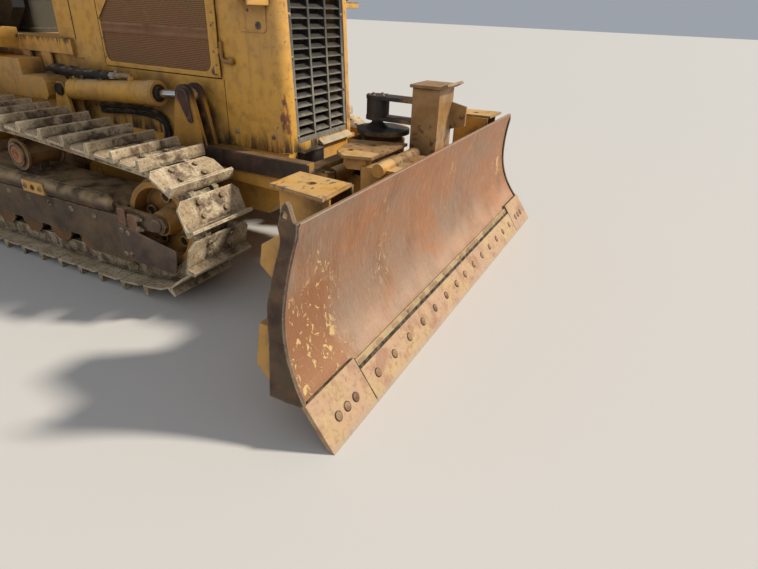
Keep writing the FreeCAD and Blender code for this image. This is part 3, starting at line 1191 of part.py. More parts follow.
def nose_box():
    outer = rounded_nose(NOSE_BOX_HALF, CROSS_FRONT_X - 1, (NOSE_BOX_BOTTOM, NOSE_BOX_TOP))
    wall = NOSE_BOX_WALL
    inner = rounded_nose(NOSE_BOX_HALF - wall, CROSS_FRONT_X + wall + 2,
                         (NOSE_BOX_BOTTOM + wall, NOSE_BOX_TOP + 1))
    slot = box((CROSS_FRONT_X + wall + 2, LEVER_ARM_X + LEVER_ARM_THICK / 2 + 8), (-72, 72),
               (NOSE_BOX_BOTTOM - 1, NOSE_BOX_BOTTOM + wall + 1))
    window = box(TILT_WINDOW_X, (-NOSE_BOX_HALF - 1, -NOSE_BOX_HALF + wall + 1), TILT_WINDOW_Z)
    shell = outer.cut(inner).cut(slot).cut(window)
    leg = prism_yz([(-90, NOSE_BOX_BOTTOM + 30), (-52, LOWER_BALL_Z - 52), (52, LOWER_BALL_Z - 52),
                    (90, NOSE_BOX_BOTTOM + 30)], (CROSS_FRONT_X, CROSS_FRONT_X + wall + 2))
    return [shell, leg]


def tilt_carrier():
    """Lever that swings about the lower ball's stud and carries the upper ball."""
    x = (LEVER_ARM_X - LEVER_ARM_THICK / 2, LEVER_ARM_X + LEVER_ARM_THICK / 2)
    hub = cylinder(vec(x[0], 0, LOWER_BALL_Z), vec(x[1], 0, LOWER_BALL_Z), TILT_HUB_RADIUS)
    arm = prism_yz([(-TILT_HUB_RADIUS + 4, LOWER_BALL_Z), (TILT_HUB_RADIUS - 4, LOWER_BALL_Z),
                    (LEVER_ARM_HALF, FLANGE_BOTTOM + 1), (-LEVER_ARM_HALF, FLANGE_BOTTOM + 1)], x)
    bore = cylinder(vec(x[0] - 1, 0, LOWER_BALL_Z), vec(x[1] + 1, 0, LOWER_BALL_Z), TILT_PIN_RADIUS + 0.05)
    flange_top = FLANGE_BOTTOM + FLANGE_THICK
    flange = cylinder(vec(FLANGE_X, 0, FLANGE_BOTTOM), vec(FLANGE_X, 0, flange_top), FLANGE_RADIUS)
    neck = cylinder(vec(ANGLE_AXIS_X, 0, FLANGE_BOTTOM + 2), vec(ANGLE_AXIS_X, 0, UPPER_BALL_Z),
                    BALL_NECK_RADIUS)
    collar = Part.makeCone(64, BALL_NECK_RADIUS + 4, 24, vec(ANGLE_AXIS_X, 0, FLANGE_BOTTOM + FLANGE_THICK - 1))
    ball = Part.makeSphere(UPPER_BALL_RADIUS, vec(ANGLE_AXIS_X, 0, UPPER_BALL_Z))
    ears = []
    for side in (x[0] - 11.3, x[1] + 0.3):
        ears.append(box((side, side + 11), (-TILT_PIN_Y - 24, 0), (TILT_CYLINDER_Z - 30, TILT_CYLINDER_Z + 30)))
    spacer = box((x[0] - 12, x[1] + 12), (-30, 0), (TILT_CYLINDER_Z - 30, TILT_CYLINDER_Z + 30))
    return joined([hub, arm, flange, collar, spacer] + ears).cut(bore).fuse([neck, ball])


def cylinder_barrel(base, aim, start, length, radius, eye_radius, eye_half, pin_axis, bore):
    """Barrel with its base eye at the base point, pointing along aim."""
    body = cylinder(base + aim * start, base + aim * (start + length), radius)
    cap = cylinder(base + aim * (start + length - 60), base + aim * (start + length - 8), radius + 6)
    eye = cylinder(base - pin_axis * eye_half, base + pin_axis * eye_half, eye_radius)
    neck = cylinder(base + aim * (eye_radius * 0.5), base + aim * (start + 1), eye_half * 0.96)
    hollow = cylinder(base + aim * (start + length * 0.3), base + aim * (start + length + 1), bore)
    reach = eye_half + 40
    pin_hole = cylinder(base - pin_axis * reach, base + pin_axis * reach, LEVER_PIN_RADIUS + 0.05)
    return joined([body, cap, eye, neck]).cut(hollow), pin_hole


def rod_with_eye(tip, aim, length, radius, eye_radius, eye_half, pin_axis):
    rod = cylinder(tip - aim * length, tip - aim * (eye_radius * 0.6), radius)
    eye = cylinder(tip - pin_axis * eye_half, tip + pin_axis * eye_half, eye_radius)
    return rod.fuse(eye)


def lift_cylinder(sign):
    base, tip = vec(LIFT_BASE_X, sign * LIFT_Y, LIFT_BASE_Z), vec(LEVER_PIN_X, sign * LIFT_Y, LEVER_PIN_Z)
    aim = (tip - base).normalize()
    across = vec(0, 1, 0)
    barrel, pin_hole = cylinder_barrel(base, aim, LIFT_BARREL_START, LIFT_BARREL_LENGTH, LIFT_BARREL_RADIUS,
                                       LIFT_EYE_RADIUS, LIFT_EYE_WIDTH / 2, across, LIFT_ROD_RADIUS + 0.3)
    rod = rod_with_eye(tip, aim, 560, LIFT_ROD_RADIUS, LIFT_EYE_RADIUS, LIFT_EYE_WIDTH / 2, across)
    return barrel.cut(pin_hole), rod


def angle_aim(sign):
    base = vec(ANGLE_BASE_X, sign * ANGLE_BASE_Y, ANGLE_Z)
    tip = vec(ANGLE_PIN_X, sign * ANGLE_PIN_Y, ANGLE_Z)
    return base, tip, (tip - base).normalize()


def angle_cylinder(sign):
    base, tip, aim = angle_aim(sign)
    up = vec(0, 0, 1)
    half = ANGLE_EYE_HEIGHT / 2
    body = cylinder(base + aim * ANGLE_BARREL_START, base + aim * (ANGLE_BARREL_START + ANGLE_BARREL_LENGTH),
                    ANGLE_BARREL_RADIUS)
    eye = cylinder(base - up * half, base + up * half, 34)
    neck = cylinder(base + aim * 15, base + aim * (ANGLE_BARREL_START + 1), half * 0.98)
    far = ANGLE_BARREL_START + ANGLE_BARREL_LENGTH
    hollow = cylinder(base + aim * (ANGLE_BARREL_START + 60), base + aim * (far + 1),
                      ANGLE_ROD_RADIUS + RUNNING_GAP)
    hole = cylinder(base - up * 60, base + up * 60, 16.05)
    barrel = joined([body, eye, neck]).cut(hollow).cut(hole)
    rod = rod_with_eye(tip, aim, 560, ANGLE_ROD_RADIUS, ANGLE_EYE_RADIUS, half, up)
    return barrel, rod


def angle_yoke(sign):
    """Block on a fore-and-aft pin, with two ears round the base eye of an angle cylinder."""
    y = tuple(sorted((sign * (YOKE_Y - 25), sign * (ANGLE_BASE_Y - 38))))
    ear_y = tuple(sorted((sign * (YOKE_Y - 25), sign * (ANGLE_BASE_Y + 2))))
    x = (ANGLE_BASE_X - YOKE_HALF, ANGLE_BASE_X + YOKE_HALF)
    half = ANGLE_EYE_HEIGHT / 2 + RUNNING_GAP
    block = box(x, y, (ANGLE_Z - half - 12, ANGLE_Z + half + 12))
    pieces = [block]
    base_y = sign * ANGLE_BASE_Y
    for low, high in ((-half - 12, -half), (half, half + 12)):
        z = (ANGLE_Z + low, ANGLE_Z + high)
        pieces.append(box(x, ear_y, z))
        pieces.append(cylinder(vec(ANGLE_BASE_X, base_y, z[0]), vec(ANGLE_BASE_X, base_y, z[1]), YOKE_HALF))
    pieces.append(cylinder(vec(ANGLE_BASE_X, base_y, ANGLE_Z - half - 5),
                           vec(ANGLE_BASE_X, base_y, ANGLE_Z + half + 5), 16))
    pin = cylinder(vec(x[0] - YOKE_LUG - 4, sign * YOKE_Y, ANGLE_Z),
                   vec(x[1] + YOKE_LUG + 4, sign * YOKE_Y, ANGLE_Z), YOKE_PIN_RADIUS)
    return joined(pieces + [pin])


def tilt_cylinder():
    base = vec(LEVER_ARM_X, TILT_BASE_Y, TILT_CYLINDER_Z)
    tip = vec(LEVER_ARM_X, -TILT_PIN_Y, TILT_CYLINDER_Z)
    aim, across = vec(0, 1, 0), vec(1, 0, 0)
    body = cylinder(base + aim * TILT_BARREL_START, base + aim * TILT_BARREL_END, TILT_BARREL_RADIUS)
    eye = cylinder(base - across * TILT_EYE_HALF, base + across * TILT_EYE_HALF, TILT_EYE_RADIUS)
    neck = cylinder(base + aim * 20, base + aim * (TILT_BARREL_START + 1), TILT_EYE_HALF * 0.98)
    hollow = cylinder(base + aim * (TILT_BARREL_START + 26), base + aim * (TILT_BARREL_END + 1),
                      TILT_ROD_RADIUS + RUNNING_GAP)
    bore = cylinder(base - across * 60, base + across * 60, TILT_EYE_PIN + 0.05)
    rod = rod_with_eye(tip, aim, TILT_ROD_LENGTH, TILT_ROD_RADIUS, 22, LEVER_ARM_THICK / 2 - 1, across)
    return joined([body, eye, neck]).cut(hollow).cut(bore), rod


def mouldboard_curve(offset):
    """Points (x, z) of the plate's side view at an offset behind its front: start, knee, arc
    middle, tangent point, arc middle, top."""
    slope = math.radians(EDGE_SLOPE)
    along, normal = (-math.cos(slope), math.sin(slope)), (math.sin(slope), math.cos(slope))
    root = (EDGE_X - normal[0] * (EDGE_THICK + offset), -normal[1] * (EDGE_THICK + offset))
    start = (root[0] + along[0] * MOULDBOARD_START, root[1] + along[1] * MOULDBOARD_START)
    knee = (root[0] + along[0] * LOWER_STRAIGHT, root[1] + along[1] * LOWER_STRAIGHT)
    lower = LOWER_RADIUS + offset
    centre = (knee[0] + normal[0] * lower, knee[1] + normal[1] * lower)
    first = math.pi / 2 - slope
    middle = (centre[0] - lower * math.cos(first / 2), centre[1] - lower * math.sin(first / 2))
    tangent = (centre[0] - lower, centre[1])
    upper = UPPER_RADIUS + offset
    upper_centre = (tangent[0] + upper, tangent[1])
    lean = math.asin((BLADE_HEIGHT - tangent[1]) / upper)
    upper_middle = (upper_centre[0] - upper * math.cos(lean / 2), upper_centre[1] + upper * math.sin(lean / 2))
    top = (upper_centre[0] - upper * math.cos(lean), upper_centre[1] + upper * math.sin(lean))
    return [start, knee, middle, tangent, upper_middle, top]


def curve_edges(points, y):
    start, knee, middle, tangent, upper_middle, top = [vec(px, y, pz) for px, pz in points]
    return [Part.LineSegment(start, knee).toShape(), Part.Arc(knee, middle, tangent).toShape(),
            Part.Arc(tangent, upper_middle, top).toShape()]


def mouldboard_prism(front, back, half):
    """Solid between two offsets of the curve, across the whole blade."""
    near, far = mouldboard_curve(front), mouldboard_curve(back)
    edges = curve_edges(near, -half) + curve_edges(far, -half)
    for first, second in ((near[0], far[0]), (near[-1], far[-1])):
        start, end = vec(first[0], -half, first[1]), vec(second[0], -half, second[1])
        edges.append(Part.LineSegment(start, end).toShape())
    wire = Part.Wire(Part.__sortEdges__(edges))
    return Part.Face(wire).extrude(vec(0, 2 * half, 0))


def blade_outline(inset):
    """Space between the slanted ends of the blade, moved inward by an inset."""
    low, high = BLADE_WIDTH / 2 - inset, BLADE_TOP_WIDTH / 2 - inset
    return prism_yz([(-low, -50), (low, -50), (low, EDGE_DEPTH), (high, BLADE_HEIGHT), (high, BLADE_HEIGHT + 200),
                     (-high, BLADE_HEIGHT + 200), (-high, BLADE_HEIGHT), (-low, EDGE_DEPTH)],
                    (EDGE_X - 900, EDGE_X + 50))


def mouldboard():
    return mouldboard_prism(0, MOULDBOARD_THICK, BLADE_WIDTH / 2).common(blade_outline(END_PLATE_THICK))


def edge_plate(s, y, thick, front=0.0):
    """Plate lying in the plane of the cutting edge, between two distances from its tip."""
    slope = math.radians(EDGE_SLOPE)
    along, normal = (-math.cos(slope), math.sin(slope)), (math.sin(slope), math.cos(slope))
    corners = []
    for reach, depth in ((s[0], front), (s[1], front), (s[1], thick), (s[0], thick)):
        corners.append((EDGE_X + along[0] * reach - normal[0] * depth, along[1] * reach - normal[1] * depth))
    return prism_xz(corners, y)


def grounded(shape):
    return shape.cut(box((EDGE_X - 400, EDGE_X + 100), (-1500, 1500), (-100, 0)))


def cutting_edges():
    half = BLADE_WIDTH / 2 - END_BIT_WIDTH - 1
    return [grounded(edge_plate((-30, EDGE_DEPTH), y, EDGE_THICK)) for y in ((-half, -1), (1, half))]


def wear_strip():
    half = BLADE_WIDTH / 2 - END_BIT_WIDTH - 1
    low = EDGE_DEPTH + 6
    return edge_plate((low, low + STRIP_DEPTH), (-half, half), EDGE_THICK, EDGE_THICK - STRIP_THICK)


def end_bits():
    low = BLADE_WIDTH / 2 - END_BIT_WIDTH
    pieces = []
    for y in ((-BLADE_WIDTH / 2, -low), (low, BLADE_WIDTH / 2)):
        pieces.append(grounded(edge_plate((-30, END_BIT_DEPTH), y, EDGE_THICK)))
    return pieces


def back_of_board(z):
    """X of the board's back surface at a height over the knee."""
    curve = mouldboard_curve(MOULDBOARD_THICK)
    tangent = curve[3]
    radius = (UPPER_RADIUS if z > tangent[1] else LOWER_RADIUS) + MOULDBOARD_THICK
    return tangent[0] + radius - math.sqrt(radius ** 2 - (z - tangent[1]) ** 2)


def end_plate(ear):
    """Right-hand end plate, with or without the lifting ear."""
    low, high = BLADE_WIDTH / 2, BLADE_TOP_WIDTH / 2
    rise = BLADE_HEIGHT + EAR_RISE + 20
    slope = (low - high) / (BLADE_HEIGHT - EDGE_DEPTH)
    top = high - slope * (rise - BLADE_HEIGHT)
    slab = prism_yz([(-low, EDGE_DEPTH), (-top, rise), (-top + END_PLATE_THICK, rise),
                     (-low + END_PLATE_THICK, EDGE_DEPTH)], (EDGE_X - 700, EDGE_X))
    back_low, back_mid, back_top = back_of_board(330), back_of_board(480), back_of_board(BLADE_HEIGHT)
    depth = END_PLATE_DEPTH
    ear_x = back_top - 40
    outline = [(EDGE_X - 60, EDGE_DEPTH), (EDGE_X - 60, 250), (back_low + 60, 330), (back_mid + 60, 480),
               (back_top + 10, BLADE_HEIGHT)]
    if ear:
        outline += [(back_top - 4, BLADE_HEIGHT + 4), (ear_x + 12, BLADE_HEIGHT + EAR_RISE - 12),
                    (ear_x, BLADE_HEIGHT + EAR_RISE), (ear_x - 12, BLADE_HEIGHT + EAR_RISE - 12),
                    (back_top - depth - 16, BLADE_HEIGHT - 20)]
    outline += [(back_top - depth, BLADE_HEIGHT - 60), (back_mid - depth, 480), (back_low - depth, 330),
                (back_low - depth + 20, EDGE_DEPTH)]
    plate = slab.common(prism_xz(outline, (-low - 10, -top + 40)))
    if ear:
        hole_z = BLADE_HEIGHT + EAR_RISE - 44
        hole_x = ear_x - 2
        plate = plate.cut(cylinder(vec(hole_x, -low - high, hole_z), vec(hole_x, 0, hole_z), EAR_HOLE_RADIUS))
    ahead = mouldboard_prism(-LOWER_RADIUS * 0.7, -END_PLATE_LIP, BLADE_WIDTH / 2 + 50)
    return plate.cut(ahead).cut(Part.makeCompound(end_bits()))


def outer_bracket():
    """Right-hand box behind the blade that holds the rod of an angle cylinder."""
    y, half, plate = -ANGLE_PIN_Y, OUTER_BRACKET_HALF, BRACKET_PLATE
    front = BRACKET_FRONT_X
    lid = prism_xy([(x, y + offset) for x, offset in OUTER_LID], (BRACKET_TOP - plate, BRACKET_TOP))
    slot_x, slot_y, slot_radius = OUTER_SLOT
    slot_y += y
    slot = cylinder(vec(slot_x, slot_y, BRACKET_TOP - 40), vec(slot_x, slot_y, BRACKET_TOP + 5), slot_radius)
    pieces = [lid.cut(slot)]
    upper = ANGLE_Z + ANGLE_CLEVIS_GAP / 2
    rear = OUTER_BRACKET_REAR
    for side in (-half, half - plate):
        pieces.append(box((rear, front - 8), (y + side, y + side + plate), (upper, BRACKET_TOP - plate + 1)))
    pieces.append(box((rear, rear + plate), (y - half, y + half), (upper, BRACKET_TOP - plate + 1)))
    for z in ((upper, upper + plate), (upper - ANGLE_CLEVIS_GAP - plate, upper - ANGLE_CLEVIS_GAP)):
        pieces.append(box((ANGLE_PIN_X, front), (y - half, y + half), z))
        pieces.append(cylinder(vec(ANGLE_PIN_X, y, z[0]), vec(ANGLE_PIN_X, y, z[1]), 60))
    return pieces


def inner_bracket():
    """Right-hand box near the middle with a lid and a round bar ahead of it."""
    plate = BRACKET_PLATE
    under = BRACKET_TOP - plate
    lid = prism_xy(list(INNER_LID), (under, BRACKET_TOP))
    for hole_x, hole_y in INNER_LID_HOLES:
        lid = lid.cut(cylinder(vec(hole_x, hole_y, under - 10), vec(hole_x, hole_y, BRACKET_TOP + 5), 14))
    body = prism_xy(list(INNER_BODY), (INNER_BODY_BOTTOM, under + 1))
    bar_x, radius, near, far = GUARD_BAR
    bar = cylinder(vec(bar_x, far, under - radius), vec(bar_x, near, under - radius), radius)
    foot = box((INNER_FOOT_X, BRACKET_FRONT_X + 20), (far + radius, near - radius),
               (INNER_FOOT_BOTTOM, under - radius))
    return [lid, body, bar, foot]


def tower():
    low, high = TOWER_X
    base = 470.0
    half, wall = TOWER_HALF, TOWER_WALL
    shell = box((low, high), (-half, half), (base, TOWER_TOP - wall))
    hollow = box((low + wall, high - wall), (-half + wall, half - wall), (base - 1, TOWER_TOP - wall))
    cap = prism_xz([(low - 12, TOWER_TOP - wall), (high + 14, TOWER_TOP - wall), (high + 44, TOWER_TOP + 4),
                    (high + 36, TOWER_TOP + 14), (high + 6, TOWER_TOP), (low - 12, TOWER_TOP)],
                   (-half - 10, half + 10))
    fin = prism_xz([(x, z) for x, z in TOWER_FIN], (half - wall, half))
    pieces = [shell.cut(hollow), cap, fin]
    ring_half = UPPER_BALL_RADIUS - 2
    top_z, low_z = UPPER_BALL_Z + ring_half, UPPER_BALL_Z - ring_half
    reach = LINK_HALF + 10
    for z in ((top_z, top_z + LINK_PLATE), (low_z - LINK_PLATE, low_z)):
        pieces.append(box((ANGLE_AXIS_X, low + 1), (-LINK_HALF, LINK_HALF), z))
        pieces.append(cylinder(vec(ANGLE_AXIS_X, 0, z[0]), vec(ANGLE_AXIS_X, 0, z[1]), reach))
    pieces.append(cylinder(vec(ANGLE_AXIS_X, 0, low_z), vec(ANGLE_AXIS_X, 0, top_z), reach - 3))
    link = joined(pieces)
    socket_radius = UPPER_BALL_RADIUS + RUNNING_GAP
    socket = cylinder(vec(ANGLE_AXIS_X, 0, low_z - 60), vec(ANGLE_AXIS_X, 0, UPPER_BALL_Z + socket_radius),
                      socket_radius)
    return link.cut(socket)


def lower_socket():
    """Two plates from the lower beam that hold the lower ball from above and below."""
    pieces = []
    gap = LOWER_BALL_RADIUS + RUNNING_GAP
    for low, high in ((-gap - 16, -gap), (gap, gap + 16)):
        z = (LOWER_BALL_Z + low, LOWER_BALL_Z + high)
        pieces.append(prism_xy([(ANGLE_AXIS_X, -40), (ANGLE_AXIS_X, 40), (ANGLE_AXIS_X + 90, 70),
                                (EDGE_X - 150, 110), (EDGE_X - 150, -110), (ANGLE_AXIS_X + 90, -70)], z))
        pieces.append(cylinder(vec(ANGLE_AXIS_X, 0, z[0]), vec(ANGLE_AXIS_X, 0, z[1]), 40))
    return pieces


def blade_back():
    """Everything welded to the back of the board, cut to its surface."""
    half = BLADE_WIDTH / 2
    curve = mouldboard_curve(MOULDBOARD_THICK)
    beam_back = curve[3][0] - LOWER_BEAM_DEPTH
    ahead = EDGE_X - 150
    lower_beam = prism_xz([(ahead, LOWER_BEAM_BOTTOM), (ahead, LOWER_BEAM_TOP), (beam_back, LOWER_BEAM_TOP),
                           (beam_back, LOWER_BEAM_BOTTOM + 60), (beam_back + 80, LOWER_BEAM_BOTTOM)],
                          (-half, half))
    top_back = back_of_board(640) - TOP_BEAM
    top_beam = prism_xz([(ahead - 30, 735), (back_of_board(735) - 10, 735), (top_back, 670), (top_back, 600),
                         (back_of_board(540) - 10, 540), (ahead - 30, 540)], (-half, half))
    pieces = [beam.common(blade_outline(END_PLATE_THICK)) for beam in (lower_beam, top_beam)]
    for rib_y in RIB_YS:
        for sign in (-1, 1):
            y = sign * rib_y
            pieces.append(prism_xz([(ahead, LOWER_BEAM_TOP - 5), (beam_back + 10, LOWER_BEAM_TOP - 5),
                                    (beam_back + 30, 605), (ahead, 605)], (y - 8, y + 8)))
    bracket = outer_bracket()
    pieces.extend(bracket)
    pieces.extend([mirrored(piece) for piece in bracket])
    pieces.extend(inner_bracket())
    pieces.extend(lower_socket())
    pieces.append(tower())
    back = joined(pieces)
    return back.cut(mouldboard_prism(-LOWER_RADIUS * 0.7, MOULDBOARD_THICK, BLADE_WIDTH / 2 + 50))


def main():
    os.makedirs("parts", exist_ok=True)
    save_pair("track", track(-TRACK_Y))
    for node, shapes in undercarriage(-TRACK_Y):
        save_both(node, shapes)
    save("main_frame", main_frame())
    save("drawbar", drawbar())
    save("nose_section", nose_section())
    save("grille", grille())
    save("radiator", radiator())
    save("engine", engine())
    save("hood", hood())
    save("cowl", cowl())
    save("exhaust", exhaust())
    save("air_intake", air_intake())
    save_pair("engine_door", engine_door())
    save("platform", platform())
    save_both("fenders", [fender()])
    save_both("side_boxes", [side_box()])
    save_both("side_tanks", [side_tank()])
    save("fuel_tank", fuel_tank())
    base, cushion, back = seat()
    save("seat_base", base)
    save("seat_cushions", Part.makeCompound([cushion, back]))
    save_both("consoles", [console()])
    save("levers", Part.makeCompound(levers()))
    save("canopy", joined(canopy_posts() + canopy_braces() + [canopy_roof()]))
    save("c_frame", c_frame())
    save("tilt_carrier", tilt_carrier())
    barrel, rod = tilt_cylinder()
    save("tilt_barrel", barrel)
    save("tilt_rod", rod)
    barrel, rod = lift_cylinder(-1)
    save_pair("lift_barrel", barrel)
    save_pair("lift_rod", rod)
    barrel, rod = angle_cylinder(-1)
    save_pair("angle_barrel", barrel)
    save_pair("angle_rod", rod)
    save_pair("angle_yoke", angle_yoke(-1))
    save("mouldboard", mouldboard())
    save("blade_back", blade_back())
    save("end_plates", Part.makeCompound([end_plate(True), mirrored(end_plate(False))]))
    save("cutting_edges", Part.makeCompound(cutting_edges() + end_bits() + [wear_strip()]))


if __name__ == "__main__":
    main()
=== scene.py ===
import math

import bpy
import bmesh
from mathutils import Matrix, Vector
from mathutils.kdtree import KDTree


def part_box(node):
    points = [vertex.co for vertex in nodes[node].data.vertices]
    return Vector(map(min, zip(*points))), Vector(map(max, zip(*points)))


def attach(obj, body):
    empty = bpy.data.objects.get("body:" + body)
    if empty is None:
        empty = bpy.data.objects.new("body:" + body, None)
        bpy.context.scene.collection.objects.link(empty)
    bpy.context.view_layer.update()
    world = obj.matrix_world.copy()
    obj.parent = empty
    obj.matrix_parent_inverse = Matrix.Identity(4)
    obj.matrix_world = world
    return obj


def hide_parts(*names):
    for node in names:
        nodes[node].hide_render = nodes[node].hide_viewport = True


# Looks of a crawler bulldozer. Metres, +X forward to the blade, +Y left, +Z up.

# Camera of the photograph
IMAGE_WIDTH = 758
CAMERA_AT = Vector((2.823, -2.536, 1.388))
CAMERA_RIGHT = Vector((0.8834, 0.467, 0.0354))
CAMERA_UP = Vector((-0.2454, 0.3972, 0.8843))
CAMERA_FOCAL_PIXELS = 526.0
SENSOR_WIDTH = 36.0

# Track chain, as in the CAD
TRACK_Y = 0.75
SHOE_COUNT = 37
SHOE_PLATE = 0.011
GROUSER_HEIGHT = 0.042
LINK_TO_SHOE = 0.04
LINK_TO_RAIL = 0.038
LINK_SPREAD = 0.15
CHAIN_PITCH = 0.173
PIN_BOTTOM = GROUSER_HEIGHT + SHOE_PLATE + LINK_TO_SHOE
IDLER_X = 0.725
IDLER_RADIUS = 0.215
IDLER_Z = PIN_BOTTOM + 0.04 + IDLER_RADIUS + LINK_TO_RAIL
IDLER_PIN_RADIUS = math.hypot(IDLER_RADIUS + LINK_TO_RAIL, CHAIN_PITCH / 2)
SPROCKET_X = -1.545
SPROCKET_RADIUS = 0.318
SPROCKET_Z = PIN_BOTTOM + 0.02 + SPROCKET_RADIUS
CARRIER_X = -0.32
CARRIER_RADIUS = 0.075
CARRIER_Z = IDLER_Z + IDLER_RADIUS + 0.062 - CARRIER_RADIUS
ROLLER_FRONT_X = 0.425
ROLLER_REAR_X = -1.165
BEND_FRONT = 0.045
BEND_REAR = 0.1

# Blade, as in the CAD
EDGE_X = 2.1
EDGE_SLOPE = math.radians(55.0)
EDGE_BOLT_PITCH = 0.1524
BLADE_HALF = 1.395
END_BIT_WIDTH = 0.33
UP_THE_EDGE = Vector((-math.cos(EDGE_SLOPE), 0.0, math.sin(EDGE_SLOPE)))
OUT_OF_EDGE = Vector((math.sin(EDGE_SLOPE), 0.0, math.cos(EDGE_SLOPE)))

# Places that several pieces share
HOOD_SIDE = 0.3402            # outer faces of the hood and nose, from the middle
DOOR_FACE = 0.3395            # outer faces of the engine doors
DECK_TOP = 1.1604             # platform's floor
GUARD_SIDE = 0.8892           # outer face of the front guard plates
LIFT_Y = 0.44                 # middle of each lift cylinder
LIFT_BASE = (-0.39, 0.893)    # its base pin, x and z
LIFT_EYE = (0.62, 0.95)       # its rod's pin on the lever tower
ANGLE_Z = 0.43               # both ends of the angle cylinders
BALL_X = 1.495                # ball that carries the blade

# Finish of the small pieces
BEVEL = 0.0015
SHARP_ANGLE = math.radians(38)
TIP_RADIUS = 0.0004           # turned forms end in a ring of this size, never in a point
CORNER_STEPS = 4

# Seat cushions
CUSHION_CUTS = 14
CUSHION_CORNER = 0.03
CUSHION_SWELL = 0.012         # most that a panel moves in the simulation
CLOTH_VOXEL = 0.006
CLOTH_PRESSURE = 4.0
CLOTH_STEPS = 20
SEAM_DEPTH = 0.009
SEAM_WIDTH = 0.01
CROWN = 0.006
BACK_LEAN = 0.17

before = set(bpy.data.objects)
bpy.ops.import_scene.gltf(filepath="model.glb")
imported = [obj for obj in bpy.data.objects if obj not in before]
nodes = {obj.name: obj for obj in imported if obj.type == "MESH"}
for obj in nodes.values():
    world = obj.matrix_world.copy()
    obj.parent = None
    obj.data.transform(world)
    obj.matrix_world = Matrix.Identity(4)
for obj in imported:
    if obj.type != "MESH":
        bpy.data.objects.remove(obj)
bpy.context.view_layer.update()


def tone(red, green, blue):
    """Linear colour of a screen colour given in 0 to 255."""
    linear = []
    for value in (red / 255, green / 255, blue / 255):
        linear.append(value / 12.92 if value <= 0.04045 else ((value + 0.055) / 1.055) ** 2.4)
    return (linear[0], linear[1], linear[2], 1.0)


# Colours
OCHRE = tone(226, 170, 72)
OCHRE_FADED = tone(208, 160, 90)
OCHRE_DARK = tone(164, 118, 52)
DUST = tone(196, 172, 132)
MUD = tone(122, 98, 70)
# Dark brown of grease; also laid into hollows as painted shade.
GREASE_AND_SHADE = tone(38, 30, 25)
RUST = tone(128, 74, 40)
RUST_DARK = tone(78, 50, 38)
BARE_STEEL = tone(150, 142, 132)
BLACK = tone(20, 20, 21)


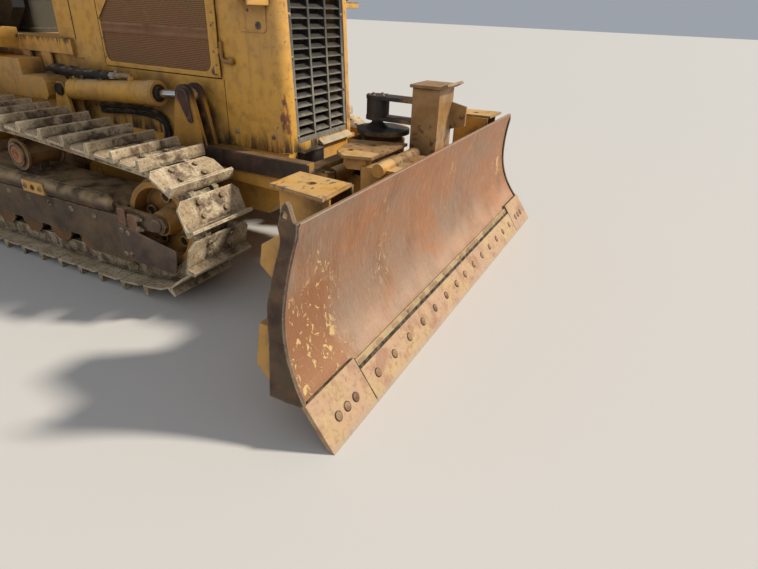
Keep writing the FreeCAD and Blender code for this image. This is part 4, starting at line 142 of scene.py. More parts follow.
class Surface:
    """Node tree of one material, built with short calls."""

    def __init__(self, name, metallic=0.0, coat=0.0):
        self.material = bpy.data.materials.new(name)
        self.material.use_nodes = True
        self.tree = self.material.node_tree
        self.shader = self.tree.nodes["Principled BSDF"]
        self.shader.inputs["Metallic"].default_value = metallic
        self.shader.inputs["Coat Weight"].default_value = coat
        self.shader.inputs["Coat Roughness"].default_value = 0.35
        self.place = self.add("ShaderNodeTexCoord").outputs["Object"]
        self.geometry = self.add("ShaderNodeNewGeometry")

    def add(self, kind, settings=None, **inputs):
        node = self.tree.nodes.new(kind)
        for key, value in (settings or {}).items():
            setattr(node, key, value)
        for key, value in inputs.items():
            self.feed(node.inputs[key.replace("_", " ")], value)
        return node

    def feed(self, socket, value):
        if isinstance(value, bpy.types.NodeSocket):
            self.tree.links.new(value, socket)
        else:
            socket.default_value = value

    def stretched(self, stretch):
        if stretch == (1, 1, 1):
            return self.place
        return self.add("ShaderNodeMapping", Vector=self.place, Scale=stretch).outputs["Vector"]

    def noise(self, scale, detail=5.0, stretch=(1, 1, 1), distortion=0.0):
        node = self.add("ShaderNodeTexNoise", Vector=self.stretched(stretch), Scale=scale, Detail=detail,
                        Roughness=0.6, Distortion=distortion)
        return node.outputs[0]

    def cells(self, scale, randomness=1.0, stretch=(1, 1, 1)):
        node = self.add("ShaderNodeTexVoronoi", Vector=self.stretched(stretch), Scale=scale,
                        Randomness=randomness)
        return node.outputs["Distance"]

    def span(self, value, low, high):
        """0 at low, 1 at high, smooth between them."""
        node = self.add("ShaderNodeMapRange", {"interpolation_type": "SMOOTHSTEP"}, Value=value, From_Min=low,
                        From_Max=high)
        return node.outputs["Result"]

    def maths(self, operation, first, second=0.0):
        node = self.add("ShaderNodeMath", {"operation": operation})
        self.feed(node.inputs[0], first)
        self.feed(node.inputs[1], second)
        return node.outputs[0]

    def times(self, product, *factors):
        for factor in factors:
            product = self.maths("MULTIPLY", product, factor)
        return product

    def greater(self, first, second):
        return self.maths("MAXIMUM", first, second)

    def mix(self, share, under, over, kind="RGBA", sockets=(6, 7, 2)):
        """Colour between two; sockets are the node's two inputs and its output of that kind."""
        node = self.add("ShaderNodeMix", {"data_type": kind})
        self.feed(node.inputs[0], share)
        self.feed(node.inputs[sockets[0]], under)
        self.feed(node.inputs[sockets[1]], over)
        return node.outputs[sockets[2]]

    def blend(self, share, under, over):
        """Number between two."""
        return self.mix(share, under, over, "FLOAT", (2, 3, 0))

    def lay(self, share, over):
        """Lays a colour over the surface's own."""
        self.colour = self.mix(share, self.colour, over)

    def spots(self, low, high, *noise):
        """Patches of a noise, between its values low and high."""
        return self.span(self.noise(*noise), low, high)

    def axis(self, index):
        return self.add("ShaderNodeSeparateXYZ", Vector=self.place).outputs[index]

    def aside(self):
        """Distance from the machine's middle plane."""
        return self.maths("ABSOLUTE", self.axis(1))

    def facing_up(self, low=0.25, high=0.9):
        rise = self.add("ShaderNodeSeparateXYZ", Vector=self.geometry.outputs["Normal"]).outputs[2]
        return self.span(rise, low, high)

    def corners(self, radius):
        """1 along edges and corners, 0 on flats."""
        rounded = self.add("ShaderNodeBevel", {"samples": 4}, Radius=radius).outputs[0]
        node = self.add("ShaderNodeVectorMath", {"operation": "DOT_PRODUCT"})
        self.feed(node.inputs[0], rounded)
        self.feed(node.inputs[1], self.geometry.outputs["True Normal"])
        return self.span(node.outputs["Value"], 0.995, 0.86)

    def shaded_hollows(self, distance):
        """1 in corners and under overhangs, where shade falls; colour laid with it is painted shade."""
        node = self.add("ShaderNodeAmbientOcclusion", {"samples": 4}, Distance=distance)
        return self.span(node.outputs["AO"], 0.95, 0.45)

    def finish(self, colour, roughness, bumps=(), rounding=0.0):
        """Feeds the shader; bumps is a list of (height, distance)."""
        self.feed(self.shader.inputs["Base Color"], colour)
        self.feed(self.shader.inputs["Roughness"], roughness)
        normal = None
        if rounding:
            normal = self.add("ShaderNodeBevel", {"samples": 4}, Radius=rounding).outputs[0]
        for height, distance in bumps:
            node = self.add("ShaderNodeBump", Strength=1.0, Distance=distance, Height=height)
            if normal is not None:
                self.feed(node.inputs["Normal"], normal)
            normal = node.outputs["Normal"]
        if normal is not None:
            self.feed(self.shader.inputs["Normal"], normal)
        return self.material


def weathered_paint(name, fresh, faded, dust=0.7, grime_and_shade=0.8, chips=0.6, marks=()):
    """Old machine paint: faded in patches, dusty on top, darkened in corners and under overhangs with painted
    shade in a grease colour, chipped to rust and steel.
    """
    s = Surface(name, coat=0.08)
    s.colour = s.mix(s.spots(0.38, 0.66, 2.6, 5), fresh, faded)
    s.lay(s.times(s.spots(0.44, 0.72, 17.0, 7), 0.55), OCHRE_DARK)
    streaks = s.noise(3.0, 6, (9, 9, 0.8))
    s.lay(s.times(s.span(streaks, 0.55, 0.78), 0.5 * grime_and_shade), MUD)
    scuffs = s.times(s.spots(0.66, 0.74, 60.0, 4, (1, 1, 0.25)), s.spots(0.5, 0.62, 4.0, 3))
    s.lay(s.times(scuffs, chips), RUST_DARK)
    speck = s.times(s.span(s.cells(75.0), 0.13, 0.07), s.spots(0.48, 0.6, 5.5, 4))
    s.lay(s.times(speck, chips), RUST_DARK)
    # Painted shade: corners and undersides darkened towards grease brown, broken up by noise.
    occlusion = s.shaded_hollows(0.1)
    dirt_and_shade = s.times(occlusion, s.spots(0.28, 0.62, 9.0, 6))
    s.lay(s.times(dirt_and_shade, grime_and_shade), GREASE_AND_SHADE)
    edge = s.times(s.corners(0.006), s.spots(0.5, 0.58, 26.0, 5))
    s.lay(s.times(edge, chips), s.mix(s.spots(0.4, 0.6, 40.0, 3), RUST, BARE_STEEL))
    film = s.times(s.facing_up(), s.spots(0.34, 0.66, 7.0, 6))
    s.lay(s.times(film, dust), DUST)
    for share, low, high in [mark(s) for mark in marks]:
        s.lay(share, s.mix(s.spots(0.35, 0.7, 14.0, 6), low, high))
    rough = s.blend(s.greater(film, dirt_and_shade), s.blend(s.noise(11.0), 0.36, 0.62), 0.88)
    grain = s.times(s.noise(160.0, 3), 0.25)
    chip_depth = s.times(s.greater(edge, s.greater(scuffs, speck)), -1.0)
    return s.finish(s.colour, rough, ((grain, 0.0006), (chip_depth, 0.0006)), rounding=0.0035)


def worn_mouldboard(name):
    """Front of the blade: rust and grey polish in soft patches, short upright grain, dried mud."""
    s = Surface(name, metallic=0.3)
    patches = s.noise(1.4, 5, (1, 1.0, 1.3), 0.4)
    s.colour = s.mix(s.span(patches, 0.36, 0.64), tone(166, 114, 78), tone(148, 122, 102))
    s.lay(s.times(s.spots(0.48, 0.7, 3.2, 7, (1, 1.2, 0.8), 0.5), 0.7), tone(136, 96, 68))
    grain = s.noise(9.0, 6, (1, 9, 1.3), 0.1)
    fine = s.noise(30.0, 5, (1, 6, 0.9))
    s.lay(s.times(s.span(grain, 0.5, 0.72), 0.34), tone(184, 156, 126))
    s.lay(s.times(s.span(fine, 0.54, 0.72), 0.28), tone(190, 158, 122))
    s.lay(s.times(s.span(fine, 0.46, 0.34), 0.34), tone(100, 74, 56))
    low = s.span(s.maths("ADD", s.axis(2), s.times(s.noise(2.2, 5), 0.35)), 0.52, 0.2)
    s.lay(s.times(low, s.times(s.spots(0.25, 0.65, 6.0, 7), 0.7)), tone(194, 160, 132))
    near = s.span(s.maths("ADD", s.axis(1), s.times(s.noise(3.0, 4), 0.5)), -0.7, -0.86)
    near = s.times(near, s.span(s.maths("ADD", s.axis(2), s.times(s.noise(4.0, 3), 0.3)), 0.74, 0.58))
    s.lay(s.times(near, 0.75), tone(148, 94, 54))
    heaps = s.greater(near, s.times(s.spots(0.54, 0.64, 2.1, 4), 0.8))
    spots = s.times(s.spots(0.56, 0.62, 30.0, 9, (1, 1.2, 0.9), 1.2), heaps)
    cakes = s.times(s.spots(0.6, 0.64, 11.0, 9, (1, 1, 1), 0.8), heaps)
    mud = s.greater(spots, cakes)
    s.lay(s.times(mud, 0.85), tone(222, 192, 134))
    s.lay(s.times(s.corners(0.01), 0.7), tone(200, 186, 168))
    rough = s.blend(mud, s.blend(s.span(grain, 0.35, 0.7), 0.62, 0.45), 0.9)
    scratches = s.spots(0.6, 0.66, 4.0, 4, (1, 60, 1.5), 0.2)
    pits = s.spots(0.55, 0.75, 70.0, 4)
    return s.finish(s.colour, rough, ((s.times(grain, 0.5), 0.0008), (s.times(scratches, -1.0), 0.0004),
                                      (s.times(pits, -1.0), 0.0006), (mud, 0.0016)), rounding=0.004)


def worn_edge(name):
    """Cutting edges: dusty tan with brown stains, the wear strip browner, the very tip polished."""
    s = Surface(name, metallic=0.25)
    s.colour = s.mix(s.spots(0.36, 0.66, 5.0, 6), tone(188, 158, 118), tone(184, 150, 124))
    s.lay(s.times(s.spots(0.48, 0.64, 8.0, 7), 0.8), tone(160, 120, 96))
    s.lay(s.times(s.spots(0.5, 0.7, 52.0, 6), 0.6), tone(136, 108, 80))
    s.lay(s.times(s.spots(0.56, 0.66, 3.0, 4), 0.6), tone(204, 184, 136))
    strip = s.times(s.span(s.axis(2), 0.1255, 0.128), s.span(s.aside(), 1.066, 1.063))
    s.lay(s.times(strip, 0.75), s.mix(s.spots(0.4, 0.6, 12.0, 7), tone(132, 110, 78), tone(172, 152, 112)))
    tip = s.span(s.axis(2), 0.03, 0.004)
    s.lay(s.times(tip, 0.6), tone(172, 154, 134))
    s.lay(s.times(s.corners(0.006), 0.5), tone(210, 190, 156))
    dents = s.spots(0.55, 0.75, 24.0, 4)
    return s.finish(s.colour, s.blend(s.noise(20.0), 0.58, 0.85),
                    ((s.noise(95.0, 5), 0.0014), (s.times(dents, -1.0), 0.0014)), 0.004)


def dusty_steel(name, deep, mid, bright, dust, metallic):
    """Dark steel parts of the undercarriage: darkened in corners with painted shade in a grease colour, dusty
    on top, polished on edges.
    """
    s = Surface(name, metallic=metallic)
    s.colour = s.mix(s.spots(0.34, 0.68, 6.0, 7), deep, mid)
    s.lay(s.times(s.spots(0.54, 0.7, 24.0, 6), 0.6), RUST)
    # Painted shade, broken up by noise: hollows darkened to grease brown.
    dirt_and_shade = s.times(s.shaded_hollows(0.06), s.spots(0.3, 0.6, 13.0, 5))
    s.lay(dirt_and_shade, GREASE_AND_SHADE)
    film = s.times(s.facing_up(-0.2, 0.6), s.spots(0.32, 0.6, 9.0, 7))
    s.lay(s.times(film, dust), DUST)
    edge = s.times(s.corners(0.008), s.spots(0.36, 0.54, 18.0, 5))
    s.lay(edge, bright)
    rough = s.blend(s.greater(film, dirt_and_shade), 0.55, 0.9)
    clods = s.spots(0.48, 0.78, 48.0, 6)
    return s.finish(s.colour, rough, ((s.noise(130.0, 4), 0.0008), (clods, 0.0022)), rounding=0.004)


def track_surface(name):
    """Track shoes and links: pale dry soil on the plates, bright grouser tips, rusty round the bolts."""
    s = Surface(name, metallic=0.2)
    s.colour = s.mix(s.spots(0.36, 0.64, 7.0, 4), tone(182, 160, 128), tone(214, 196, 164))
    s.lay(s.times(s.spots(0.48, 0.66, 70.0, 7), 0.75), tone(126, 104, 80))
    middle = s.maths("ABSOLUTE", s.maths("SUBTRACT", s.aside(), TRACK_Y))
    chain = s.times(s.span(middle, 0.125, 0.085), s.spots(0.42, 0.6, 16.0, 7))
    s.lay(s.times(chain, 0.8), s.mix(s.spots(0.4, 0.6, 28.0, 4), RUST_DARK, tone(104, 82, 62)))
    edge = s.times(s.corners(0.01), s.spots(0.3, 0.48, 14.0, 5))
    s.lay(edge, tone(228, 214, 184))
    # Painted shade: hollows darkened to dark brown, broken up by noise.
    dirt_and_shade = s.times(s.shaded_hollows(0.05), s.spots(0.3, 0.58, 15.0, 5))
    s.lay(s.times(dirt_and_shade, 0.9), tone(56, 44, 34))
    clods = s.spots(0.46, 0.8, 75.0, 6)
    return s.finish(s.colour, s.blend(edge, 0.88, 0.5), ((s.noise(170.0, 4), 0.001), (clods, 0.0026)),
                    rounding=0.002)


def grille_surface(name):
    """Grey louvres: dusty, darkened inside and in their hollows with painted shade, worn bright along their
    lips.
    """
    s = Surface(name, metallic=0.1)
    s.colour = s.mix(s.spots(0.35, 0.68, 12.0, 6), tone(126, 121, 110), tone(148, 142, 128))
    s.lay(s.times(s.spots(0.54, 0.66, 46.0, 5), 0.6), tone(86, 76, 62))
    s.lay(s.times(s.facing_up(), s.spots(0.35, 0.65, 18.0, 5)), tone(104, 88, 68))
    # Painted shade: the parts behind the louvres' front and their hollows are darkened to near black.
    shaded_inside = s.span(s.axis(0), 1.143, 1.12)
    s.lay(s.times(shaded_inside, 0.85), tone(34, 30, 26))
    s.lay(s.times(s.shaded_hollows(0.05), 0.9), tone(20, 18, 16))
    s.lay(s.times(s.corners(0.003), 0.6), tone(196, 190, 176))
    return s.finish(s.colour, s.blend(s.noise(22.0), 0.5, 0.8), ((s.noise(120.0, 3), 0.0006),),
                    rounding=0.0015)


def door_surface(name):
    """Engine door: yellow frame round a reddish brown perforated panel."""
    s = Surface(name, coat=0.05)
    paint = s.mix(s.spots(0.38, 0.66, 2.6, 5), OCHRE, OCHRE_FADED)
    paint = s.mix(s.times(s.spots(0.46, 0.72, 17.0, 7), 0.5), paint, OCHRE_DARK)
    paint = s.mix(s.times(s.corners(0.006), s.spots(0.5, 0.6, 26.0, 5)), paint, RUST_DARK)
    # Painted shade: the frame's corners darkened to grease brown.
    paint = s.mix(s.times(s.shaded_hollows(0.05), 0.7), paint, GREASE_AND_SHADE)
    panel = s.mix(s.spots(0.36, 0.66, 3.2, 6), tone(158, 108, 74), tone(150, 114, 70))
    panel = s.mix(s.times(s.spots(0.5, 0.7, 20.0, 5), 0.4), panel, tone(164, 116, 74))
    dot = s.span(s.cells(115.0, 0.0, (1, 0.001, 1)), 0.34, 0.26)
    lint = s.spots(0.62, 0.72, 5.0, 5)
    dot = s.times(dot, s.maths("SUBTRACT", 1.0, s.times(lint, 0.8)))
    panel = s.mix(dot, panel, tone(40, 30, 24))
    inset = s.span(s.aside(), 0.3345, 0.3342)
    s.colour = s.mix(inset, paint, panel)
    return s.finish(s.colour, s.blend(inset, 0.5, 0.8),
                    ((s.times(dot, inset, -1.0), 0.002), (s.noise(140.0, 3), 0.0004)), rounding=0.003)


def smooth_metal(name, colour, roughness):
    """Hard chrome of the cylinder rods, with a little dust."""
    s = Surface(name, metallic=1.0)
    tint = s.mix(s.times(s.spots(0.5, 0.75, 14.0, 6), 0.5), colour, tone(150, 140, 124))
    return s.finish(tint, s.blend(s.noise(30.0), roughness, roughness + 0.16), ((s.noise(200.0, 2), 0.0001),))


def dull_black(name, colour, roughness=0.6, dust=0.5):
    """Black paint, plastic or rubber under a film of dust."""
    s = Surface(name)
    tint = s.mix(s.times(s.spots(0.46, 0.7, 10.0, 6), dust), colour, tone(92, 80, 64))
    tint = s.mix(s.times(s.facing_up(), s.times(s.spots(0.4, 0.7, 24.0, 5), dust)), tint, DUST)
    return s.finish(tint, s.blend(s.noise(16.0), roughness, min(1.0, roughness + 0.25)),
                    ((s.noise(110.0, 4), 0.0006),), rounding=0.002)


def vinyl(name):
    """Black seat vinyl with a leather grain."""
    s = Surface(name)
    s.shader.inputs["Sheen Weight"].default_value = 0.15
    grain = s.cells(420.0)
    tint = s.mix(s.spots(0.4, 0.7, 7.0, 5), tone(30, 29, 29), tone(46, 43, 40))
    tint = s.mix(s.times(s.facing_up(), s.times(s.spots(0.45, 0.7, 12.0, 6), 0.35)), tint, DUST)
    return s.finish(tint, s.blend(s.noise(25.0), 0.42, 0.66), ((s.times(grain, 0.6), 0.0005),))


def lamp_glass(name):
    """Pale ribbed glass, a little dusty."""
    s = Surface(name)
    ribs = s.add("ShaderNodeTexWave", {"bands_direction": "Y"}, Vector=s.place, Scale=55.0).outputs[1]
    tint = s.mix(s.times(s.spots(0.45, 0.7, 12.0, 5), 0.5), tone(212, 214, 210), DUST)
    return s.finish(tint, s.blend(s.noise(20.0), 0.12, 0.3), ((ribs, 0.0015),))


def red_lens(name):
    """Red plastic with a pattern of small prisms."""
    s = Surface(name, coat=0.5)
    cells = s.cells(160.0, 0.0)
    tint = s.mix(s.times(s.spots(0.45, 0.7, 15.0, 5), 0.35), tone(150, 22, 16), DUST)
    return s.finish(tint, s.blend(s.noise(20.0), 0.2, 0.35), ((cells, 0.0012),))


class Shape:
    """Mesh of pressed, turned and bent forms that ends up as one object with rounded edges."""

    def __init__(self):
        self.mesh = bmesh.new()

    def faces(self, points, rings):
        made = [self.mesh.verts.new(point) for point in points]
        for ring in rings:
            self.mesh.faces.new([made[index] for index in ring])

    def loft(self, rings):
        """Skin over equal rings of points, with its two ends closed."""
        count = len(rings[0])
        points = [point for ring in rings for point in ring]
        skins = []
        for level in range(len(rings) - 1):
            for corner in range(count):
                following = (corner + 1) % count
                low, high = level * count, (level + 1) * count
                skins.append((low + corner, low + following, high + following, high + corner))
        skins.append(tuple(reversed(range(count))))
        skins.append(tuple(range(len(points) - count, len(points))))
        self.faces(points, skins)

    def box(self, x, y, z):
        self.loft([[(x[0], y[0], level), (x[1], y[0], level), (x[1], y[1], level), (x[0], y[1], level)]
                   for level in z])

    def plate(self, outline, along, low, high):
        """Outline of (u, v) pressed along an axis: x gives (y, z), y gives (x, z), z gives (x, y)."""
        order = {"x": (2, 0, 1), "y": (0, 2, 1), "z": (0, 1, 2)}[along]
        self.loft([[[(u, v, w)[index] for index in order] for u, v in outline] for w in (low, high)])

    def lathe(self, at, axis, profile, sides=24):
        """Turned form: profile gives (distance along the axis, radius)."""
        axis = Vector(axis).normalized()
        side = axis.orthogonal().normalized()
        other = axis.cross(side)
        rings = []
        for along, radius in profile:
            radius = max(radius, TIP_RADIUS)
            centre = Vector(at) + axis * along
            rings.append([centre + side * math.cos(turn) * radius + other * math.sin(turn) * radius
                          for turn in turns(sides)])
        self.loft(rings)

    def bolt(self, at, axis, radius, height, washer=True):
        """Hexagonal head on a washer."""
        if washer:
            self.lathe(at, axis, ((-0.002, radius * 1.5), (0.002, radius * 1.5), (0.0025, radius * 1.4)), 16)
        self.lathe(at, axis, ((0.0, radius), (height * 0.8, radius), (height, radius * 0.82)), 6)

    def bolts(self, places, axis, radius, height):
        for place in places:
            self.bolt(place, axis, radius, height)

    def tube(self, points, radius, sides=10, rounding=5):
        """Bent pipe through points, its corners rounded off."""
        path = smooth_path([Vector(point) for point in points], rounding)
        rings = []
        side = (path[1] - path[0]).orthogonal().normalized()
        for index, point in enumerate(path):
            before = path[max(index - 1, 0)]
            after = path[min(index + 1, len(path) - 1)]
            ahead = (after - before).normalized()
            side = (side - ahead * side.dot(ahead)).normalized()
            other = ahead.cross(side)
            rings.append([point + side * math.cos(turn) * radius + other * math.sin(turn) * radius
                          for turn in turns(sides)])
        self.loft(rings)

    def finish(self, name, material, slot, bevel=BEVEL, segments=2, body="root"):
        """Makes the object, rounds its edges and hangs it on its body."""
        bmesh.ops.recalc_face_normals(self.mesh, faces=self.mesh.faces)
        data = bpy.data.meshes.new(name)
        self.mesh.to_mesh(data)
        self.mesh.free()
        data.materials.append(materials[material])
        data.shade_smooth()
        data.set_sharp_from_angle(angle=SHARP_ANGLE)
        piece = add_object(name, data)
        if bevel:
            modifier = piece.modifiers.new("bevel", "BEVEL")
            modifier.width = bevel
            modifier.segments = segments
            modifier.limit_method = "ANGLE"
            modifier.angle_limit = SHARP_ANGLE
            modifier.harden_normals = True
        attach(piece, body)


def add_object(name, data):
    thing = bpy.data.objects.new(name, data)
    bpy.context.scene.collection.objects.link(thing)
    return thing


def turns(count, start=0.0):
    """Equal turns of a circle; start is in shares of one step."""
    return [math.tau * (step + start) / count for step in range(count)]


def smooth_path(points, rounding):
    """Catmull-Rom curve through the points."""
    if len(points) < 3:
        return points
    ends = [2 * points[0] - points[1]] + points + [2 * points[-1] - points[-2]]
    path = []
    for index in range(1, len(ends) - 2):
        a, b, c, d = ends[index - 1:index + 3]
        for step in range(rounding):
            t = step / rounding
            path.append(0.5 * ((2 * b) + (c - a) * t + (2 * a - 5 * b + 4 * c - d) * t * t
                               + (3 * b - a - 3 * c + d) * t ** 3))
    path.append(points[-1])
    return path


def arc(centre, radius, start, end, steps):
    """Points (u, v) of an arc, angles in degrees."""
    angles = [math.radians(start + (end - start) * step / steps) for step in range(steps + 1)]
    return [(centre[0] + radius * math.cos(turn), centre[1] + radius * math.sin(turn)) for turn in angles]


def rounded(u, v, radius):
    """Rectangle outline with round corners."""
    corners = ((u[1] - radius, v[1] - radius), (u[0] + radius, v[1] - radius), (u[0] + radius, v[0] + radius),
               (u[1] - radius, v[0] + radius))
    outline = []
    for turn, corner in enumerate(corners):
        outline += arc(corner, radius, 90 * turn, 90 * turn + 90, CORNER_STEPS)
    return outline


def side_name(sign):
    return "left" if sign > 0 else "right"


def span_of(sign, inner, outer):
    """Low and high y of what lies between two distances from the middle, on one side."""
    return sorted((sign * inner, sign * outer))


def box_of(node):
    low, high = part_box(node)
    return Vector(low), Vector(high)


# Track chain
def belt(circles):
    """Path of a belt round circles (x, z, radius) given anticlockwise, as (kind, ...) stretches."""
    stretches = []
    tangents = []
    count = len(circles)
    for index in range(count):
        ax, az, ar = circles[index]
        bx, bz, br = circles[(index + 1) % count]
        normal = math.atan2(bz - az, bx - ax) - math.acos((ar - br) / math.hypot(bx - ax, bz - az))
        tangents.append((normal, (ax + ar * math.cos(normal), az + ar * math.sin(normal)),
                         (bx + br * math.cos(normal), bz + br * math.sin(normal))))
    for index in range(count):
        normal, start, end = tangents[index]
        turn = (tangents[(index + 1) % count][0] - normal) % math.tau
        stretches.append((math.dist(start, end), "line", start, end))
        centre = circles[(index + 1) % count]
        stretches.append((centre[2] * turn, "arc", centre, (normal, turn)))
    return stretches


def point_on(stretches, distance):
    """Point (x, z) at a distance along the belt."""
    for length, kind, first, second in stretches:
        if distance <= length:
            share = distance / length if length else 0.0
            if kind == "line":
                return (first[0] + share * (second[0] - first[0]), first[1] + share * (second[1] - first[1]))
            turn = second[0] + share * second[1]
            return (first[0] + first[2] * math.cos(turn), first[1] + first[2] * math.sin(turn))
        distance -= length
    return point_on(stretches, distance)


def chain_links():
    """Middle (x, z) of each link's pin line and its turn in the x-z plane."""
    low = PIN_BOTTOM + IDLER_PIN_RADIUS / 2
    stretches = belt([(ROLLER_REAR_X - BEND_REAR, low, IDLER_PIN_RADIUS / 2),
                      (ROLLER_FRONT_X + BEND_FRONT, low, IDLER_PIN_RADIUS / 2),
                      (IDLER_X, IDLER_Z, IDLER_PIN_RADIUS),
                      (CARRIER_X, CARRIER_Z, math.hypot(CARRIER_RADIUS + LINK_TO_RAIL, CHAIN_PITCH / 2)),
                      (SPROCKET_X, SPROCKET_Z, SPROCKET_RADIUS)])
    whole = sum(stretch[0] for stretch in stretches)
    pitch = whole / SHOE_COUNT
    pins = [point_on(stretches, (stretches[0][0] + index * pitch) % whole) for index in range(SHOE_COUNT)]
    links = []
    for index, (ax, az) in enumerate(pins):
        bx, bz = pins[(index + 1) % SHOE_COUNT]
        links.append(((ax + bx) / 2, (az + bz) / 2, math.atan2(bz - az, bx - ax)))
    return links


def dress_track(sign):
    """Four bolts on the outside of each shoe."""
    bolts = Shape()
    for x, z, turn in chain_links():
        along = Vector((math.cos(turn), 0.0, math.sin(turn)))
        outward = Vector((math.sin(turn), 0.0, -math.cos(turn)))
        face = Vector((x, sign * TRACK_Y, z)) + outward * (LINK_TO_SHOE + SHOE_PLATE)
        for ahead in (-0.012, 0.052):
            for side in (-LINK_SPREAD / 2, LINK_SPREAD / 2):
                bolts.bolt(face + along * ahead + Vector((0.0, side, 0.0)), outward, 0.0135, 0.011, False)
    bolts.finish("shoe_bolts_" + side_name(sign), "bolt", "track_steel", 0.001, 1)


def on_frame(sign, x, out, z):
    """Point on the outer side of a track frame, out from the middle of its track."""
    return Vector((x, sign * (TRACK_Y + out), z))


def dress_final_drive(sign):
    """Ring of bolts and cover on the sprocket's outer face."""
    axis = (0, sign, 0)
    face = box_of("sprockets")[1].y - TRACK_Y
    bolts = Shape()
    for turn in turns(14):
        bolts.bolt(on_frame(sign, SPROCKET_X + 0.155 * math.cos(turn), face,
                            SPROCKET_Z + 0.155 * math.sin(turn)), axis, 0.011, 0.01)
    bolts.bolt(on_frame(sign, SPROCKET_X, face + 0.034, SPROCKET_Z), axis, 0.012, 0.01)
    bolts.finish("drive_bolts_" + side_name(sign), "bolt", "dark_steel", 0.001, 1)
    cover = Shape()
    cover.lathe(on_frame(sign, SPROCKET_X, face, SPROCKET_Z), axis,
                ((-0.001, 0.118), (0.012, 0.118), (0.022, 0.1), (0.024, 0.052), (0.034, 0.046), (0.034, 0.0)),
                40)
    cover.finish("drive_cover_" + side_name(sign), "dark_paint", "dark_paint", 0.002)


def dress_idler(sign):
    """Hub, plugs in the web, and the nut block of the idler's yoke."""
    axis = (0, sign, 0)
    hub = Shape()
    hub.lathe(on_frame(sign, IDLER_X, 0.1147, IDLER_Z), axis, ((-0.002, 0.034), (0.006, 0.034), (0.01, 0.029),
                                                               (0.01, 0.0)), 28)
    hub.finish("idler_caps_" + side_name(sign), "dark_paint", "dark_steel")
    plugs = Shape()
    rings = Shape()
    for turn in turns(5, 0.3):
        at = on_frame(sign, IDLER_X + 0.125 * math.cos(turn), 0.03, IDLER_Z + 0.125 * math.sin(turn))
        rings.lathe(at, axis, ((-0.01, 0.03), (0.003, 0.03), (0.003, 0.024), (-0.008, 0.022)), 24)
        plugs.lathe(at, axis, ((-0.012, 0.0235), (-0.006, 0.0235), (-0.006, 0.0)), 24)
    rings.finish("idler_rings_" + side_name(sign), "idler", "dark_steel")
    plugs.finish("idler_plugs_" + side_name(sign), "soot_and_shadow", "dark_steel", 0.0)
    block = Shape()
    block.plate(rounded((0.466, 0.52), (IDLER_Z - 0.052, IDLER_Z + 0.052), 0.008), "y",
                *span_of(sign, TRACK_Y + 0.114, TRACK_Y + 0.134))
    block.plate(rounded((0.54, 0.604), (IDLER_Z - 0.06, IDLER_Z + 0.034), 0.01), "y",
                *span_of(sign, TRACK_Y + 0.114, TRACK_Y + 0.138))
    block.finish("yoke_blocks_" + side_name(sign), "rusty_block", "dark_steel", 0.003)
    nuts = Shape()
    for rise in (-0.04, 0.016):
        at = on_frame(sign, 0.602, 0.126, IDLER_Z + rise)
        nuts.lathe(at, (1, 0, 0), ((0.0, 0.019), (0.003, 0.019), (0.004, 0.016), (0.018, 0.016),
                                   (0.02, 0.013), (0.02, 0.009), (0.038, 0.009), (0.04, 0.007)), 6)
    nuts.finish("yoke_nuts_" + side_name(sign), "bolt", "dark_steel", 0.001, 1)


def dress_guard(sign):
    """Front guard plate bolted to the roller guard, and a rounded rail over it."""
    plate = Shape()
    outline = [(0.462, 0.155), (0.79, 0.15)] + arc((0.8, 0.2), 0.05, -80, -10, 5)
    outline += [(0.862, 0.272), (0.852, 0.286), (0.462, 0.352)]
    plate.plate(outline, "y", *span_of(sign, 0.8812, GUARD_SIDE))
    plate.finish("guard_plates_" + side_name(sign), "guard", "dark_paint", 0.0015)
    bolts = Shape()
    for x, z in ((0.485, 0.185), (0.485, 0.32), (0.528, 0.19), (0.528, 0.312)):
        bolts.bolt((x, sign * GUARD_SIDE, z), (0, sign, 0), 0.01, 0.008)
    for k in range(8):
        bolts.bolt((ROLLER_REAR_X + 0.12 + 0.1875 * k, sign * 0.881, 0.354), (0, sign, 0), 0.011, 0.009)
    bolts.finish("guard_bolts_" + side_name(sign), "bolt", "dark_steel", 0.001, 1)
    rail = Shape()
    side = [(0.0, -0.044), (0.02, -0.04), (0.034, -0.026), (0.04, 0.0), (0.034, 0.026), (0.02, 0.04),
            (0.0, 0.046)]
    sections = ((-1.16, 0.5), (-1.14, 1.0), (0.3, 1.0), (0.36, 0.94), (0.42, 0.86), (0.436, 0.5))
    rail.loft([[(x, sign * (0.864 + out * grow), 0.437 + rise * grow) for out, rise in side]
               for x, grow in sections])
    rail.finish("frame_rails_" + side_name(sign), "dark_paint", "dark_paint", 0.002)


def dress_carrier(sign):
    """End cap of the carrier roller, and the small bolted block on the frame."""
    axis = (0, sign, 0)
    ring = Shape()
    at = on_frame(sign, CARRIER_X, 0.1145, CARRIER_Z)
    ring.lathe(at, axis, ((-0.002, 0.066), (0.006, 0.066), (0.009, 0.062), (0.009, 0.055), (0.001, 0.054)),
               36)
    ring.finish("carrier_rings_" + side_name(sign), "dark_paint", "dark_steel")
    cap = Shape()
    cap.lathe(at, axis, ((-0.002, 0.05), (0.006, 0.05), (0.01, 0.045), (0.01, 0.03), (0.006, 0.028),
                         (0.006, 0.014), (0.012, 0.012), (0.012, 0.0)), 32)
    cap.finish("carrier_caps_" + side_name(sign), "orange_rust", "dark_steel", 0.001)
    block = Shape()
    face = span_of(sign, 0.862, 0.912)
    block.plate(rounded((-0.275, -0.085), (0.402, 0.47), 0.01), "y", *face)
    block.finish("frame_blocks_" + side_name(sign), "yellow", "yellow", 0.004)
    bolts = Shape()
    for x in (-0.245, -0.18, -0.115):
        bolts.bolt((x, sign * 0.912, 0.436), axis, 0.011, 0.009)
    bolts.finish("block_bolts_" + side_name(sign), "rust_bolt", "dark_steel", 0.001, 1)


